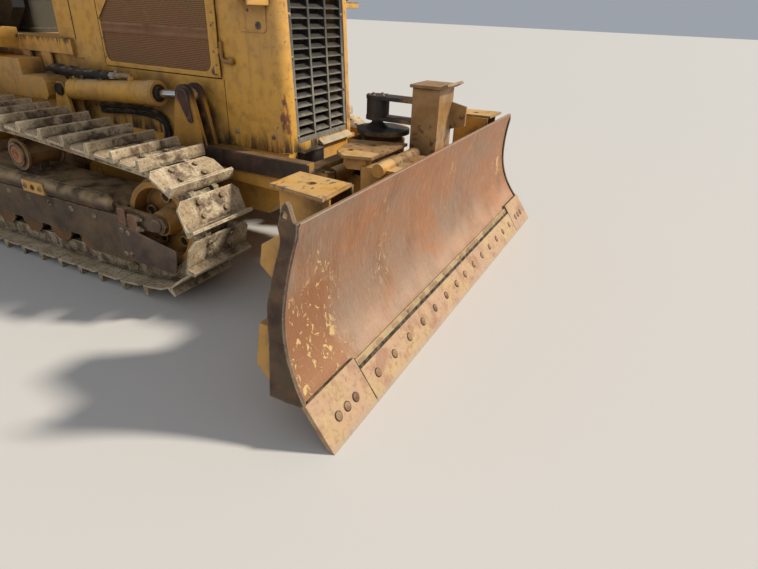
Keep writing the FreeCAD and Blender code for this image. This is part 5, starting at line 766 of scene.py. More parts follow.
def dress_edges():
    """Plough bolts of the cutting edges and end bits, and the wear strip's plugs."""
    heads = Shape()
    rings = Shape()
    plugs = Shape()

    def on_edge(up, y, out=0.0):
        return Vector((EDGE_X, 0.0, 0.0)) + UP_THE_EDGE * up + OUT_OF_EDGE * out + Vector((0.0, y, 0.0))

    half = BLADE_HALF - END_BIT_WIDTH
    inset = (half - 6 * EDGE_BOLT_PITCH) / 2 - 0.007
    places = []
    for sign in (-1, 1):
        places += [(0.086, sign * (inset + EDGE_BOLT_PITCH * k)) for k in range(7)]
        places += [(0.088, sign * (half + 0.098 + 0.0615 * k)) for k in range(3)]
        for k in range(7):
            centre = on_edge(0.174, sign * (inset + EDGE_BOLT_PITCH * k + 0.035))
            outline = arc((0.022, 0.0), 0.008, -90, 90, 5) + arc((-0.022, 0.0), 0.008, 90, 270, 5)
            base = [centre + Vector((0.0, u, 0.0)) + UP_THE_EDGE * v for u, v in outline]
            plugs.loft([[point + OUT_OF_EDGE * rise for point in base] for rise in (-0.0085, -0.0068)])
    for up, y in places:
        rings.lathe(on_edge(up, y), OUT_OF_EDGE, ((-0.002, 0.0205), (0.0007, 0.0205), (0.0009, 0.0195),
                                                  (0.0009, 0.0)), 24)
        heads.lathe(on_edge(up, y), OUT_OF_EDGE, ((-0.001, 0.0165), (0.003, 0.016), (0.0046, 0.0125),
                                                  (0.005, 0.0)), 24)
    # Dark strips over the joints of the edge halves, wear strip and end bits, wider than the joints: dark
    # joints widened into painted shadow.
    gap_shadows = Shape()

    def strip(up, y, out):
        square = ((up[0], y[0]), (up[1], y[0]), (up[1], y[1]), (up[0], y[1]))
        corners = [on_edge(u, v, out[0]) for u, v in square]
        gap_shadows.loft([corners, [point + OUT_OF_EDGE * (out[1] - out[0]) for point in corners]])

    strip((0.1503, 0.164), (-half + 0.002, half - 0.002), (-0.012, -0.0068))
    for sign in (-1, 1):
        strip((0.012, 0.2045), (sign * half - 0.0028, sign * half + 0.0028), (-0.004, 0.0005))
        strip((0.2052, 0.209), span_of(sign, half + 0.002, 1.372), (-0.0195, -0.006))
    gap_shadows.finish("edge_gap_shadows", "soot_and_shadow", "edge_steel", 0.0, body="blade")
    rings.finish("edge_bolt_seats", "soot_and_shadow", "edge_steel", 0.0, body="blade")
    heads.finish("edge_bolt_heads", "rust_bolt", "edge_steel", 0.0, body="blade")
    plugs.finish("wear_strip_plugs", "rust_bolt", "edge_steel", 0.0006, 1, body="blade")


def dress_grille():
    """Bolts round the grille's frame."""
    low, high = box_of("grille")
    lean = math.radians(3.0)
    outward = (math.cos(lean), 0.0, math.sin(lean))
    bolts = Shape()
    for k in range(5):
        z = low.z + 0.035 + (high.z - low.z - 0.07) * k / 4
        face_x = high.x - (z - low.z) * math.tan(lean)
        for sign in (-1, 1):
            bolts.bolt((face_x - 0.001, sign * (high.y - 0.013), z), outward, 0.0065, 0.006)
    bolts.finish("grille_bolts", "bolt", "grille_grey", 0.0006, 1)


def dress_door(sign):
    """Pressed rib, corner plates, latches and rivets of one engine door."""
    name = side_name(sign)
    body = "door_" + name
    skin = sign * HOOD_SIDE
    rib = Shape()
    section = [(0.3335, 1.206), (DOOR_FACE, 1.214), (DOOR_FACE, 1.222), (0.3365, 1.228), (0.3365, 1.246),
               (DOOR_FACE, 1.252), (DOOR_FACE, 1.258), (0.3335, 1.266)]
    rib.plate([(sign * out, z) for out, z in section], "x", -0.109, 0.689)
    rib.finish("door_ribs_" + name, "mesh_rib", "yellow", 0.001, body=body)
    corner = Shape()
    corner.plate([(-0.1205, 1.292), (-0.104, 1.292), (-0.02, 1.38), (-0.02, 1.598), (-0.1205, 1.598)], "y",
                 *span_of(sign, DOOR_FACE, 0.3425))
    corner.plate(rounded((0.64, 0.742), (1.5, 1.59), 0.008), "y", *span_of(sign, DOOR_FACE, 0.345))
    corner.finish("door_plates_" + name, "yellow", "yellow", 0.001, body=body)
    turn = Shape()
    turn.lathe((0.69, sign * 0.345, 1.545), (0, sign, 0), ((0.0, 0.021), (0.006, 0.021), (0.01, 0.017),
                                                           (0.01, 0.0)), 26)
    turn.plate(rounded((0.672, 0.708), (1.54, 1.55), 0.004), "y", *span_of(sign, 0.354, 0.361))
    turn.lathe((0.712, skin, 1.066), (0, sign, 0), ((0.0, 0.019), (0.005, 0.019), (0.008, 0.015),
                                                    (0.008, 0.0)), 24)
    turn.finish("door_latches_" + name, "bolt", "dark_steel", 0.0008, body=body)
    rivets = Shape()
    places = [(-0.116, z) for z in (1.08, 1.18, 1.28)] + [(0.715, z) for z in (1.16, 1.28, 1.4)]
    for x, z in places:
        rivets.lathe((x, skin, z), (0, sign, 0), ((-0.001, 0.006), (0.002, 0.005), (0.003, 0.0)), 12)
    rivets.finish("door_rivets_" + name, "rust_bolt", "yellow", 0.0, body=body)


def dress_nose(sign):
    """Pad with its latch, head lamp on a bracket, hinge rod, seam and bolts on one side of the nose."""
    name = side_name(sign)
    pad = Shape()
    pad.plate(rounded((0.905, 1.066), (1.262, 1.52), 0.022), "y", *span_of(sign, 0.3385, 0.3455))
    pad.plate(rounded((0.9, 1.085), (1.402, 1.41), 0.003), "y", *span_of(sign, 0.339, 0.49))
    pad.plate(rounded((1.077, 1.085), (1.378, 1.41), 0.003), "y", *span_of(sign, 0.339, 0.49))
    pad.finish("nose_pads_" + name, "yellow", "yellow", 0.0012)
    latch = Shape()
    latch.lathe((1.02, sign * 0.3455, 1.292), (0, sign, 0), ((-0.001, 0.017), (0.003, 0.017), (0.005, 0.013),
                                                             (0.002, 0.011), (0.002, 0.0)), 26)
    rod = Shape()
    rod.tube([(0.779, sign * 0.3525, 1.21), (0.779, sign * 0.3525, 1.15), (0.784, sign * 0.353, 1.128),
              (0.806, sign * 0.354, 1.12), (0.84, sign * 0.354, 1.122)], 0.0095, 12, 5)
    rod.lathe((0.838, sign * 0.354, 1.122), (1, 0, 0), ((-0.006, 0.015), (0.014, 0.015), (0.018, 0.01)), 16)
    rod.finish("hinge_rods_" + name, "dark_yellow", "yellow", 0.001)
    seam = Shape()
    seam.box((0.769, 0.7725), span_of(sign, 0.3385, 0.3404), (0.702, 1.03))
    seam.finish("nose_seams_" + name, "soot_and_shadow", "yellow", 0.0)
    latch.finish("nose_latches_" + name, "dull_metal", "dark_steel", 0.0006)
    housing = Shape()
    aim = Vector((1.0, 0.0, -0.1)).normalized()
    at = Vector((1.015, sign * 0.425, 1.494))
    housing.lathe(at, aim, ((-0.095, 0.02), (-0.09, 0.04), (-0.055, 0.066), (0.01, 0.075), (0.02, 0.078),
                            (0.03, 0.078), (0.032, 0.07), (0.02, 0.068)), 40)
    housing.lathe((0.99, sign * 0.425, 1.408), (0, 0, 1), ((0.0, 0.016), (0.02, 0.014), (0.03, 0.014)), 20)
    housing.finish("head_lamps_" + name, "black", "black_metal", 0.001)
    glass = Shape()
    glass.lathe(at, aim, ((0.014, 0.069), (0.022, 0.069), (0.029, 0.052), (0.032, 0.026), (0.033, 0.0)), 40)
    glass.finish("head_lamp_glasses_" + name, "lamp", "black_metal", 0.0)
    bolts = Shape()
    for x, z in ((0.83, 0.775), (1.07, 0.775), (0.96, 1.356)):
        bolts.bolt((x, sign * HOOD_SIDE, z), (0, sign, 0), 0.009, 0.007)
    bolts.bolts([(x, sign * HOOD_SIDE, 1.64) for x in (-0.3, -0.205)], (0, sign, 0), 0.008, 0.007)
    bolts.bolts([(x, sign * HOOD_SIDE, 0.8) for x in (-0.29, -0.2)], (0, sign, 0), 0.008, 0.007)
    bolts.finish("hood_bolts_" + name, "bolt", "yellow", 0.0008, 1)


def dress_cowl(sign):
    """Knee panel beside the pedals, its seal, and the plates on the platform's side."""
    name = side_name(sign)
    panel = Shape()
    outline = [(-0.505, DECK_TOP), (-0.36, DECK_TOP), (-0.36, 1.69), (-0.4, 1.69), (-0.47, 1.56),
               (-0.505, 1.54)]
    panel.plate(outline, "y", *span_of(sign, 0.333, HOOD_SIDE))
    panel.finish("knee_panels_" + name, "yellow", "yellow", 0.0015)
    skirt = Shape()
    skirt.box((-1.225, -0.318), span_of(sign, 0.327, 0.333), (0.7003, 1.1))
    skirt.finish("skirt_plates_" + name, "yellow", "yellow", 0.001)
    fascia = Shape()
    fascia.box((-1.31, -0.3765), span_of(sign, 0.3503, 0.3655), (1.074, 1.1588))
    fascia.finish("deck_fascias_" + name, "yellow", "yellow", 0.002)
    seal = Shape()
    seal.box((-0.36, -0.352), span_of(sign, 0.33, 0.3412), (DECK_TOP, 1.7))
    seal.finish("cowl_seals_" + name, "rubber", "black_plastic", 0.001)


def dress_front():
    """Black block and heap of dust on the ledge under the grille."""
    block = Shape()
    block.plate(rounded((-0.255, -0.068), (0.6, 0.69), 0.006), "x", 1.158, 1.2)
    block.plate(rounded((-0.262, -0.06), (0.6895, 0.6955), 0.002), "x", 1.158, 1.206)
    block.finish("front_block", "black", "black_metal", 0.003)
    ledge = Shape()
    ledge.plate([(1.148, 0.734), (1.152, 0.7345), (1.17, 0.722), (1.19, 0.708), (1.192, 0.7005),
                 (1.148, 0.7005)], "y", -0.056, 0.262)
    ledge.finish("front_ledge", "dust_heap", "yellow", 0.002)


def dress_stacks():
    """Clamps on the exhaust, bands and ribs on the air intake."""
    foot = box_of("exhaust")[0].z
    clamp = Shape()
    at = (0.33, -0.11)
    for rise in (0.098, 0.3):
        clamp.lathe((at[0], at[1], foot + rise), (0, 0, 1), ((0.0, 0.0385), (0.002, 0.04), (0.016, 0.04),
                                                             (0.018, 0.0385)), 30)
    clamp.box((at[0] + 0.036, at[0] + 0.06), (at[1] - 0.006, at[1] + 0.006), (foot + 0.099, foot + 0.115))
    clamp.finish("exhaust_clamps", "dull_metal", "black_metal", 0.0008)
    low, high = box_of("air_intake")
    centre = (low + high) / 2
    bowl = Shape()
    bowl.lathe((centre.x, centre.y, high.z - 0.1), (0, 0, 1),
               ((0.0, 0.0945), (0.003, 0.0955), (0.012, 0.0955), (0.015, 0.0945)), 40)
    bowl.lathe((centre.x, centre.y, low.z + 0.08), (0, 0, 1), ((0.0, 0.039), (0.002, 0.043), (0.014, 0.043),
                                                               (0.016, 0.039)), 30)
    for turn in turns(18):
        bowl.lathe((centre.x + 0.092 * math.cos(turn), centre.y + 0.092 * math.sin(turn), high.z - 0.085),
                   (0, 0, 1), ((0.0, 0.0028), (0.045, 0.0028)), 6)
    bowl.finish("intake_bands", "rubber", "black_plastic", 0.0008)


class LiftLine:
    """Axis of one lift cylinder, for what is fixed to its barrel."""

    def __init__(self, sign):
        self.sign = sign
        self.base = Vector((LIFT_BASE[0], sign * LIFT_Y, LIFT_BASE[1]))
        self.aim = (Vector((LIFT_EYE[0], sign * LIFT_Y, LIFT_EYE[1])) - self.base).normalized()
        self.up = Vector((-self.aim.z, 0.0, self.aim.x))

    def at(self, along, up=0.0, out=0.0):
        return self.base + self.aim * along + self.up * up + Vector((0.0, self.sign * out, 0.0))


def dress_lift_cylinder(sign):
    """Gland, bands and end caps of one lift cylinder."""
    name = side_name(sign)
    body = "lift_barrel_" + name
    line = LiftLine(sign)
    rim = Shape()
    rim.lathe(line.at(0.78), line.aim, ((-0.012, 0.0662), (0.002, 0.0662), (0.006, 0.062), (0.006, 0.047),
                                        (-0.001, 0.045)), 40)
    for along in (0.13, 0.64):
        rim.lathe(line.at(along), line.aim, ((0.0, 0.061), (0.001, 0.0635), (0.021, 0.0635), (0.022, 0.061)),
                  36)
    for along in (0.11, 0.585):
        rim.lathe(line.at(along, 0.055), line.up, ((0.0, 0.02), (0.018, 0.02), (0.02, 0.016), (0.026, 0.016)),
                  6)
    rim.finish("lift_bands_" + name, "yellow", "yellow", 0.001, body=body)
    gland = Shape()
    gland.lathe(line.at(0.78), line.aim, ((-0.002, 0.0445), (0.0012, 0.0445), (0.0016, 0.036), (0.004, 0.034),
                                          (0.004, 0.03), (0.01, 0.0285), (0.01, 0.0236)), 36)
    gland.finish("lift_gland_" + name, "soot_and_shadow", "dark_steel", 0.0006, body=body)
    caps = Shape()
    for way in (-1, 1):
        at = line.at(0.0, 0.0, way * 0.0545)
        axis = (0, way * sign, 0)
        caps.lathe(at, axis, ((-0.001, 0.035), (0.003, 0.035), (0.003, 0.029), (0.0022, 0.028),
                              (0.0022, 0.0)), 30)
    caps.finish("lift_base_caps_" + name, "soot_and_shadow", "dark_steel", 0.0008)


def dress_lift_hoses(sign):
    """Sleeved hose pair over the barrel with its fitting and spring guard, and the fixed hoses beside it."""
    name = side_name(sign)
    body = "lift_barrel_" + name
    line = LiftLine(sign)
    sleeve = Shape()
    for out, lift in ((0.014, 0.0), (-0.02, 0.006)):
        sleeve.tube([line.at(-0.055, 0.112 + lift, out), line.at(0.01, 0.106 + lift, out),
                     line.at(0.11, 0.098 + lift, out), line.at(0.25, 0.088 + lift, out),
                     line.at(0.37, 0.08 + lift, out), line.at(0.44, 0.08 + lift, out)], 0.0185, 14, 6)
    sleeve.tube([line.at(-0.02, 0.092, 0.0), line.at(0.12, 0.083, 0.0), line.at(0.26, 0.077, 0.0)], 0.02, 14,
                6)
    sleeve.finish("lift_hoses_" + name, "rubber", "black_plastic", 0.0, body=body)
    fitting = Shape()
    fitting.lathe(line.at(0.436, 0.081, 0.014), line.aim, ((0.0, 0.017), (0.003, 0.02), (0.02, 0.02),
                                                           (0.023, 0.017), (0.026, 0.019), (0.038, 0.019),
                                                           (0.04, 0.013)), 6)
    fitting.lathe(line.at(0.436, 0.087, -0.02), line.aim, ((0.0, 0.017), (0.003, 0.02), (0.022, 0.02),
                                                           (0.024, 0.013)), 6)
    fitting.finish("lift_fittings_" + name, "zinc", "dark_steel", 0.0008, 1, body=body)
    route = [line.at(0.466, 0.081, 0.014), line.at(0.51, 0.083, 0.012), line.at(0.556, 0.084, 0.008),
             line.at(0.585, 0.078, 0.0)]
    guard = Shape()
    guard.tube(route, 0.0105, 12, 8)
    path = smooth_path([Vector(point) for point in route], 10)
    for point, following in zip(path[:-3:2], path[1:-2:2]):
        guard.lathe(point, following - point, ((-0.0025, 0.0115), (-0.0015, 0.0145), (0.0015, 0.0145),
                                               (0.0025, 0.0115)), 14)
    guard.finish("lift_guards_" + name, "coil", "dark_steel", 0.0, body=body)
    clips = Shape()
    for along, height in ((0.2, 0.04), (0.36, 0.03)):
        ring = [line.at(along - 0.012, 0.058, -0.028), line.at(along + 0.012, 0.058, -0.028),
                line.at(along + 0.012, 0.058, 0.028), line.at(along - 0.012, 0.058, 0.028)]
        clips.loft([ring, [point + line.up * height for point in ring]])
    clips.finish("lift_clips_" + name, "dull_metal", "dark_steel", 0.002, body=body)
    fixed = Shape()
    fixed.tube([(-0.6, sign * 0.352, 0.985), (-0.6, sign * 0.395, 0.985), (-0.57, sign * 0.422, 0.988),
                (-0.51, sign * 0.436, 0.997), (-0.45, sign * 0.44, 1.002), (-0.425, sign * 0.44, 1.003)],
               0.015, 12, 6)
    for drop in (0.0, 0.03):
        fixed.tube([(-0.24, sign * 0.33, 0.8 - drop), (-0.22, sign * 0.352, 0.8 - drop),
                    (-0.16, sign * 0.361, 0.805 - drop), (0.06, sign * 0.362, 0.822 - drop),
                    (0.22, sign * 0.362, 0.818 - drop), (0.3, sign * 0.361, 0.792 - drop),
                    (0.335 - drop * 0.6, sign * 0.361, 0.735), (0.33 - drop, sign * 0.358, 0.672),
                    (0.318 - drop, sign * 0.352, 0.64), (0.312 - drop, sign * 0.33, 0.632)], 0.0115, 12, 6)
    fixed.finish("frame_hoses_" + name, "rubber", "black_plastic", 0.0)
    ends = Shape()
    ends.lathe((-0.6, sign * 0.3495, 0.985), (0, sign, 0), ((0.0, 0.03), (0.004, 0.03), (0.006, 0.022),
                                                            (0.024, 0.022), (0.026, 0.016)), 6)
    for x, z in ((-0.24, 0.8), (-0.24, 0.77), (0.312, 0.632), (0.282, 0.632)):
        ends.lathe((x, sign * 0.3375, z), (0, sign, 0), ((0.0, 0.017), (0.008, 0.017), (0.01, 0.013)), 6)
    ends.finish("frame_hose_ends_" + name, "dull_metal", "dark_steel", 0.0006, 1)


def dress_levers(sign):
    """Tear-drop keepers on one lever tower of the C-frame."""
    keepers = Shape()
    outline = arc((0.62, 0.951), 0.036, 25, 195, 10) + arc((0.655, 0.838), 0.015, 205, 375, 6)
    for side in (-1, 1):
        face = sign * (LIFT_Y + side * 0.0505)
        way = side * sign
        keepers.plate(outline, "y", *sorted((face - way * 0.0005, face + way * 0.01)))
        keepers.bolt((0.652, face + way * 0.01, 0.846), (0, way, 0), 0.007, 0.006, False)
        keepers.lathe((0.62, face + way * 0.01, 0.951), (0, way, 0),
                      ((0.0, 0.016), (0.002, 0.015), (0.003, 0.0)), 20)
    keepers.finish("lever_keepers_" + side_name(sign), "keeper", "dark_steel", 0.003, 3, body="c_frame")


def dress_angle_cylinder(sign):
    """Gland and feed pipe of one angle cylinder."""
    name = side_name(sign)
    base = Vector((1.305, sign * 0.21, ANGLE_Z))
    aim = (Vector((1.7, sign * 0.93, ANGLE_Z)) - base).normalized()
    body = "angle_barrel_" + name
    gland = Shape()
    gland.lathe(base + aim * 0.515, aim, ((-0.03, 0.0465), (-0.004, 0.0495), (0.004, 0.0495), (0.007, 0.046),
                                          (0.009, 0.0212), (0.013, 0.0212)), 32)
    gland.finish("angle_gland_" + name, "gland", "dark_steel", 0.001, body=body)
    pipe = Shape()
    for along in (0.09, 0.46):
        pipe.lathe(base + aim * along + Vector((0, 0, 0.04)), (0, 0, 1),
                   ((0.0, 0.016), (0.022, 0.016), (0.024, 0.013), (0.032, 0.013)), 6)
    route = ((0.09, 0.07), (0.098, 0.086), (0.15, 0.088), (0.4, 0.086), (0.452, 0.086), (0.46, 0.07))
    pipe.tube([base + aim * along + Vector((0, 0, rise)) for along, rise in route], 0.0075, 10, 5)
    pipe.finish("angle_pipes_" + name, "dull_metal", "dark_steel", 0.0008, body=body)


def dress_blade_back():
    """Weld beads on the brackets and bolts on the ball's cap."""
    welds = Shape()
    for sign in (-1, 1):
        welds.tube([(1.732, sign * 0.096, 1.05), (1.8, sign * 0.096, 1.05), (1.866, sign * 0.096, 1.05)],
                   0.004, 8, 4)
        y = sign * 0.93
        welds.tube([(1.624, y - 0.086, 0.784), (1.624, y, 0.784), (1.624, y + 0.086, 0.784)], 0.004, 8, 4)
    welds.finish("bracket_welds", "bracket", "yellow", 0.0, body="blade")
    bolts = Shape()
    for turn in turns(6, 0.5):
        bolts.bolt((BALL_X + 0.047 * math.cos(turn), 0.047 * math.sin(turn), 0.99), (0, 0, 1), 0.007, 0.007,
                   False)
    bolts.finish("ball_cap_bolts", "bolt", "dark_steel", 0.0006, 1, body="blade")


def dress_dash():
    """Panel with four gauges, facing the seat."""
    lean = math.atan2(0.017, 0.12)
    outward = Vector((-math.cos(lean), 0.0, math.sin(lean)))
    upward = Vector((math.sin(lean), 0.0, math.cos(lean)))
    centre = Vector((-0.4165, 0.0, 1.662))
    panel = Shape()
    ring = [centre + upward * v + Vector((0, u, 0)) for u, v in rounded((-0.17, 0.17), (-0.05, 0.05), 0.012)]
    panel.loft([ring, [point + outward * 0.004 for point in ring]])
    rims = Shape()
    marks = Shape()
    for y, radius in ((-0.115, 0.03), (-0.04, 0.038), (0.045, 0.038), (0.12, 0.03)):
        at = centre + outward * 0.004 + Vector((0, y, 0))
        rims.lathe(at, outward, ((0.0, radius), (0.01, radius), (0.012, radius * 0.93),
                                 (0.008, radius * 0.86), (0.004, radius * 0.86)), 32)
        panel.lathe(at, outward, ((0.0, radius * 0.85), (0.0045, radius * 0.85), (0.005, radius * 0.8),
                                  (0.005, 0.0)), 32)
        for k in range(9):
            turn = math.radians(-120 + 30 * k)
            ray = upward * math.cos(turn) + Vector((0, math.sin(turn), 0))
            marks.tube([at + outward * 0.0052 + ray * radius * share for share in (0.6, 0.74)], 0.0009, 4)
        needle = upward * math.cos(0.6) + Vector((0, math.sin(0.6), 0))
        marks.tube([at + outward * 0.006, at + outward * 0.006 + needle * radius * 0.62], 0.0011, 4)
    panel.finish("dash_panel", "black", "black_plastic", 0.001)
    rims.finish("gauge_rims", "zinc", "black_metal", 0.0006)
    marks.finish("gauge_marks", "lamp", "black_plastic", 0.0)


def dress_fenders():
    """Raised treads on the fenders, straps and caps on the side tanks."""
    top = box_of("fenders")[1].z
    treads = Shape()
    for sign in (-1, 1):
        for row in range(9):
            x = -0.925 - 0.024 * row
            for column in range(15):
                y = sign * (0.4 + 0.034 * column + (0.017 if row % 2 else 0.0))
                treads.plate([(x - 0.009, y), (x, y - 0.003), (x + 0.009, y), (x, y + 0.003)], "z",
                             top - 0.0005, top + 0.0016)
    treads.finish("fender_treads", "yellow", "yellow", 0.0)
    low, high = box_of("side_tanks")
    straps = Shape()
    caps = Shape()
    for sign in (-1, 1):
        for x in (low.x + 0.1, high.x - 0.1):
            inner, outer = sign * 0.4185, sign * 0.8815
            top = high.z + 0.0015
            path = [(x, inner, low.z + 0.004), (x, inner, top - 0.03), (x, inner + sign * 0.012, top - 0.006),
                    (x, inner + sign * 0.032, top), (x, outer - sign * 0.032, top),
                    (x, outer - sign * 0.012, top - 0.006), (x, outer, top - 0.03), (x, outer, low.z + 0.004)]
            strap_band(straps, path, 0.018, 0.0015, sign)
        at = (low.x + 0.25, sign * 0.65, high.z - 0.001)
        caps.lathe(at, (0, 0, 1), ((0.0, 0.045), (0.012, 0.045), (0.014, 0.052), (0.034, 0.052),
                                   (0.038, 0.046), (0.04, 0.0)), 32)
        for turn in turns(12):
            caps.lathe((at[0] + 0.052 * math.cos(turn), at[1] + 0.052 * math.sin(turn), high.z + 0.014),
                       (0, 0, 1), ((0.0, 0.004), (0.018, 0.004)), 6)
    straps.finish("tank_straps", "dull_metal", "black_metal", 0.0)
    caps.finish("tank_caps", "black", "black_metal", 0.001)


def strap_band(shape, path, half_width, thick, sign):
    """Flat steel band across X that follows a path in the y-z plane."""
    rings = []
    points = [Vector(point) for point in path]
    for index, point in enumerate(points):
        before, after = points[max(index - 1, 0)], points[min(index + 1, len(points) - 1)]
        ahead = (after - before).normalized()
        out = Vector((1, 0, 0)).cross(ahead) * sign
        side = Vector((half_width, 0, 0))
        rings.append([point - side, point + side, point + side + out * thick, point - side + out * thick])
    shape.loft(rings)


def dress_canopy():
    """Four work lamps under the roof's corners."""
    low, high = box_of("canopy")
    housings = Shape()
    glasses = Shape()
    for sign in (-1, 1):
        for x, way in ((high.x - 0.028, 1), (low.x + 0.028, -1)):
            at = Vector((x, sign * 0.5, high.z - 0.125))
            aim = Vector((way, 0, -0.25)).normalized()
            housings.lathe(at, aim, ((-0.075, 0.018), (-0.07, 0.032), (-0.04, 0.05), (0.0, 0.056),
                                     (0.012, 0.058), (0.014, 0.052), (0.008, 0.05)), 30)
            glasses.lathe(at, aim, ((0.004, 0.0505), (0.009, 0.0505), (0.013, 0.036), (0.015, 0.0)), 30)
            stem = at - aim * 0.03
            housings.box((stem.x - 0.01, stem.x + 0.01), (stem.y - 0.014, stem.y + 0.014),
                         (at.z + 0.04, high.z - 0.058))
    housings.finish("work_lamps", "black", "black_metal", 0.001)
    glasses.finish("work_lamp_glasses", "lamp", "black_metal", 0.0)


def dress_rear():
    """Tail lamps on the fuel tank and grab rails on the fenders."""
    rear_face = box_of("fuel_tank")[0].x
    shells = Shape()
    lenses = Shape()
    rails = Shape()
    for sign in (-1, 1):
        at = Vector((rear_face - 0.001, sign * 0.4, 1.18))
        shells.lathe(at, (-1, 0, 0), ((-0.004, 0.044), (0.016, 0.046), (0.022, 0.046), (0.022, 0.04),
                                      (0.014, 0.04)), 30)
        lenses.lathe(at, (-1, 0, 0), ((0.01, 0.0395), (0.022, 0.0385), (0.028, 0.026), (0.03, 0.0)), 30)
        rails.tube([(-1.56, sign * 0.88, 1.42), (-1.56, sign * 0.925, 1.42), (-1.552, sign * 0.928, 1.4),
                    (-1.552, sign * 0.928, 1.26), (-1.56, sign * 0.925, 1.24), (-1.56, sign * 0.88, 1.24)],
                   0.01, 12, 5)
    shells.finish("tail_lamps", "black", "black_metal", 0.001)
    lenses.finish("tail_lamp_lenses", "lens", "black_metal", 0.0)
    rails.finish("grab_rails", "black", "black_metal", 0.0)


def dress_seat():
    """Seat cushion and back with swollen panels, and the cover of the seat's mount."""
    low, high = box_of("seat_cushions")
    seat = padded_block("seat_pad", (low.x + 0.084, high.x - 0.003), (low.y + 0.004, high.y - 0.004),
                        (low.z + 0.002, low.z + 0.106), 0.0, materials["vinyl"])
    back = padded_block("back_pad", (0.0, 0.092), (low.y + 0.01, high.y - 0.01), (0.0, 0.5), BACK_LEAN,
                        materials["vinyl"], (low.x + 0.094, low.z + 0.114))
    for piece in (seat, back):
        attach(piece, "root")
    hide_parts("seat_cushions")
    low, high = box_of("seat_base")
    cover = Shape()
    rings = []
    for z, out in ((1.1606, 0.014), (1.185, 0.014), (1.19, 0.006), (1.38, 0.001), (1.384, 0.008),
                   (1.41, 0.008)):
        rings.append([(u, v, z) for u, v in rounded((low.x - out - 0.002, high.x + out + 0.002),
                                                    (low.y - out - 0.002, high.y + out + 0.002), 0.03)])
    cover.loft(rings)
    cover.finish("seat_mount", "olive", "black_metal", 0.002)


def padded_block(name, x, y, z, lean, material, foot=None):
    """Cushion: a rounded block whose panels swell in a cloth simulation, with two sewn channels."""
    shape = bmesh.new()
    bmesh.ops.create_cube(shape, size=1.0)
    bmesh.ops.subdivide_edges(shape, edges=shape.edges, cuts=CUSHION_CUTS, use_grid_fill=True)
    size = Vector((x[1] - x[0], y[1] - y[0], z[1] - z[0]))
    middle = Vector(((x[0] + x[1]) / 2, (y[0] + y[1]) / 2, (z[0] + z[1]) / 2))
    for vertex in shape.verts:
        place = Vector([vertex.co[i] * size[i] for i in range(3)])
        core = Vector([held(place[i], size[i] / 2 - CUSHION_CORNER) for i in range(3)])
        away = place - core
        if away.length > 1e-6:
            place = core + away.normalized() * min(away.length, CUSHION_CORNER)
        vertex.co = place
    data = bpy.data.meshes.new(name)
    shape.to_mesh(data)
    shape.free()
    piece = add_object(name, data)
    rest = [vertex.co.copy() for vertex in data.vertices]
    swell(piece)
    flat_axis = 2 if size.z < size.x else 0
    for vertex, before in zip(piece.data.vertices, nearest_rest(piece, rest)):
        moved = vertex.co - before
        if moved.length > CUSHION_SWELL:
            vertex.co = before + moved.normalized() * CUSHION_SWELL
    channels(piece, size, flat_axis)
    for vertex in piece.data.vertices:
        vertex.co = [held(vertex.co[i], size[i] / 2) for i in range(3)]
    turn = Matrix.Rotation(-lean, 4, "Y")
    if foot:
        offset = Vector((foot[0], 0.0, foot[1]))
        for vertex in piece.data.vertices:
            vertex.co = turn @ (vertex.co + Vector((size.x / 2, 0.0, size.z / 2))) + offset
    else:
        for vertex in piece.data.vertices:
            vertex.co = vertex.co + middle
    piece.data.materials.append(material)
    piece.data.shade_smooth()
    modifier = piece.modifiers.new("smooth", "SUBSURF")
    modifier.levels = 1
    modifier.render_levels = 1
    return piece


def held(value, reach):
    """Value kept within a reach of the middle."""
    return max(-reach, min(reach, value))


def swell(piece):
    """Inflates the piece as cloth and keeps the result."""
    remesh = piece.modifiers.new("remesh", "REMESH")
    remesh.mode = "VOXEL"
    remesh.voxel_size = CLOTH_VOXEL
    apply_modifiers(piece)
    cloth = piece.modifiers.new("cloth", "CLOTH")
    cloth.settings.use_pressure = True
    cloth.settings.uniform_pressure_force = CLOTH_PRESSURE
    cloth.settings.effector_weights.gravity = 0.0
    for step in range(1, CLOTH_STEPS + 1):
        bpy.context.scene.frame_set(step)
    apply_modifiers(piece)
    bpy.context.scene.frame_set(1)


def apply_modifiers(piece):
    graph = bpy.context.evaluated_depsgraph_get()
    data = bpy.data.meshes.new_from_object(piece.evaluated_get(graph))
    piece.modifiers.clear()
    piece.data = data


def nearest_rest(piece, rest):
    """For each vertex the nearest point of the cushion before it swelled."""
    if len(piece.data.vertices) == len(rest):
        return rest
    tree = KDTree(len(rest))
    for index, place in enumerate(rest):
        tree.insert(place, index)
    tree.balance()
    return [tree.find(vertex.co)[0] for vertex in piece.data.vertices]


def channels(piece, size, flat_axis):
    """Presses two seams across the panel and lets it fall off towards its sides."""
    for vertex in piece.data.vertices:
        place = vertex.co
        depth = 0.0
        for seam in (-size.y / 5, size.y / 5):
            depth += SEAM_DEPTH * math.exp(-((place.y - seam) / SEAM_WIDTH) ** 2)
        if place[flat_axis] > size[flat_axis] * 0.15:
            inner = 1.0
            for i in (0, 1, 2):
                if i != flat_axis:
                    inner = min(inner, max(0.0, (size[i] / 2 - abs(place[i])) / 0.05))
            place[flat_axis] -= depth * inner
            crown = (1 - (2 * place.y / size.y) ** 2) * CROWN
            place[flat_axis] -= CROWN - crown


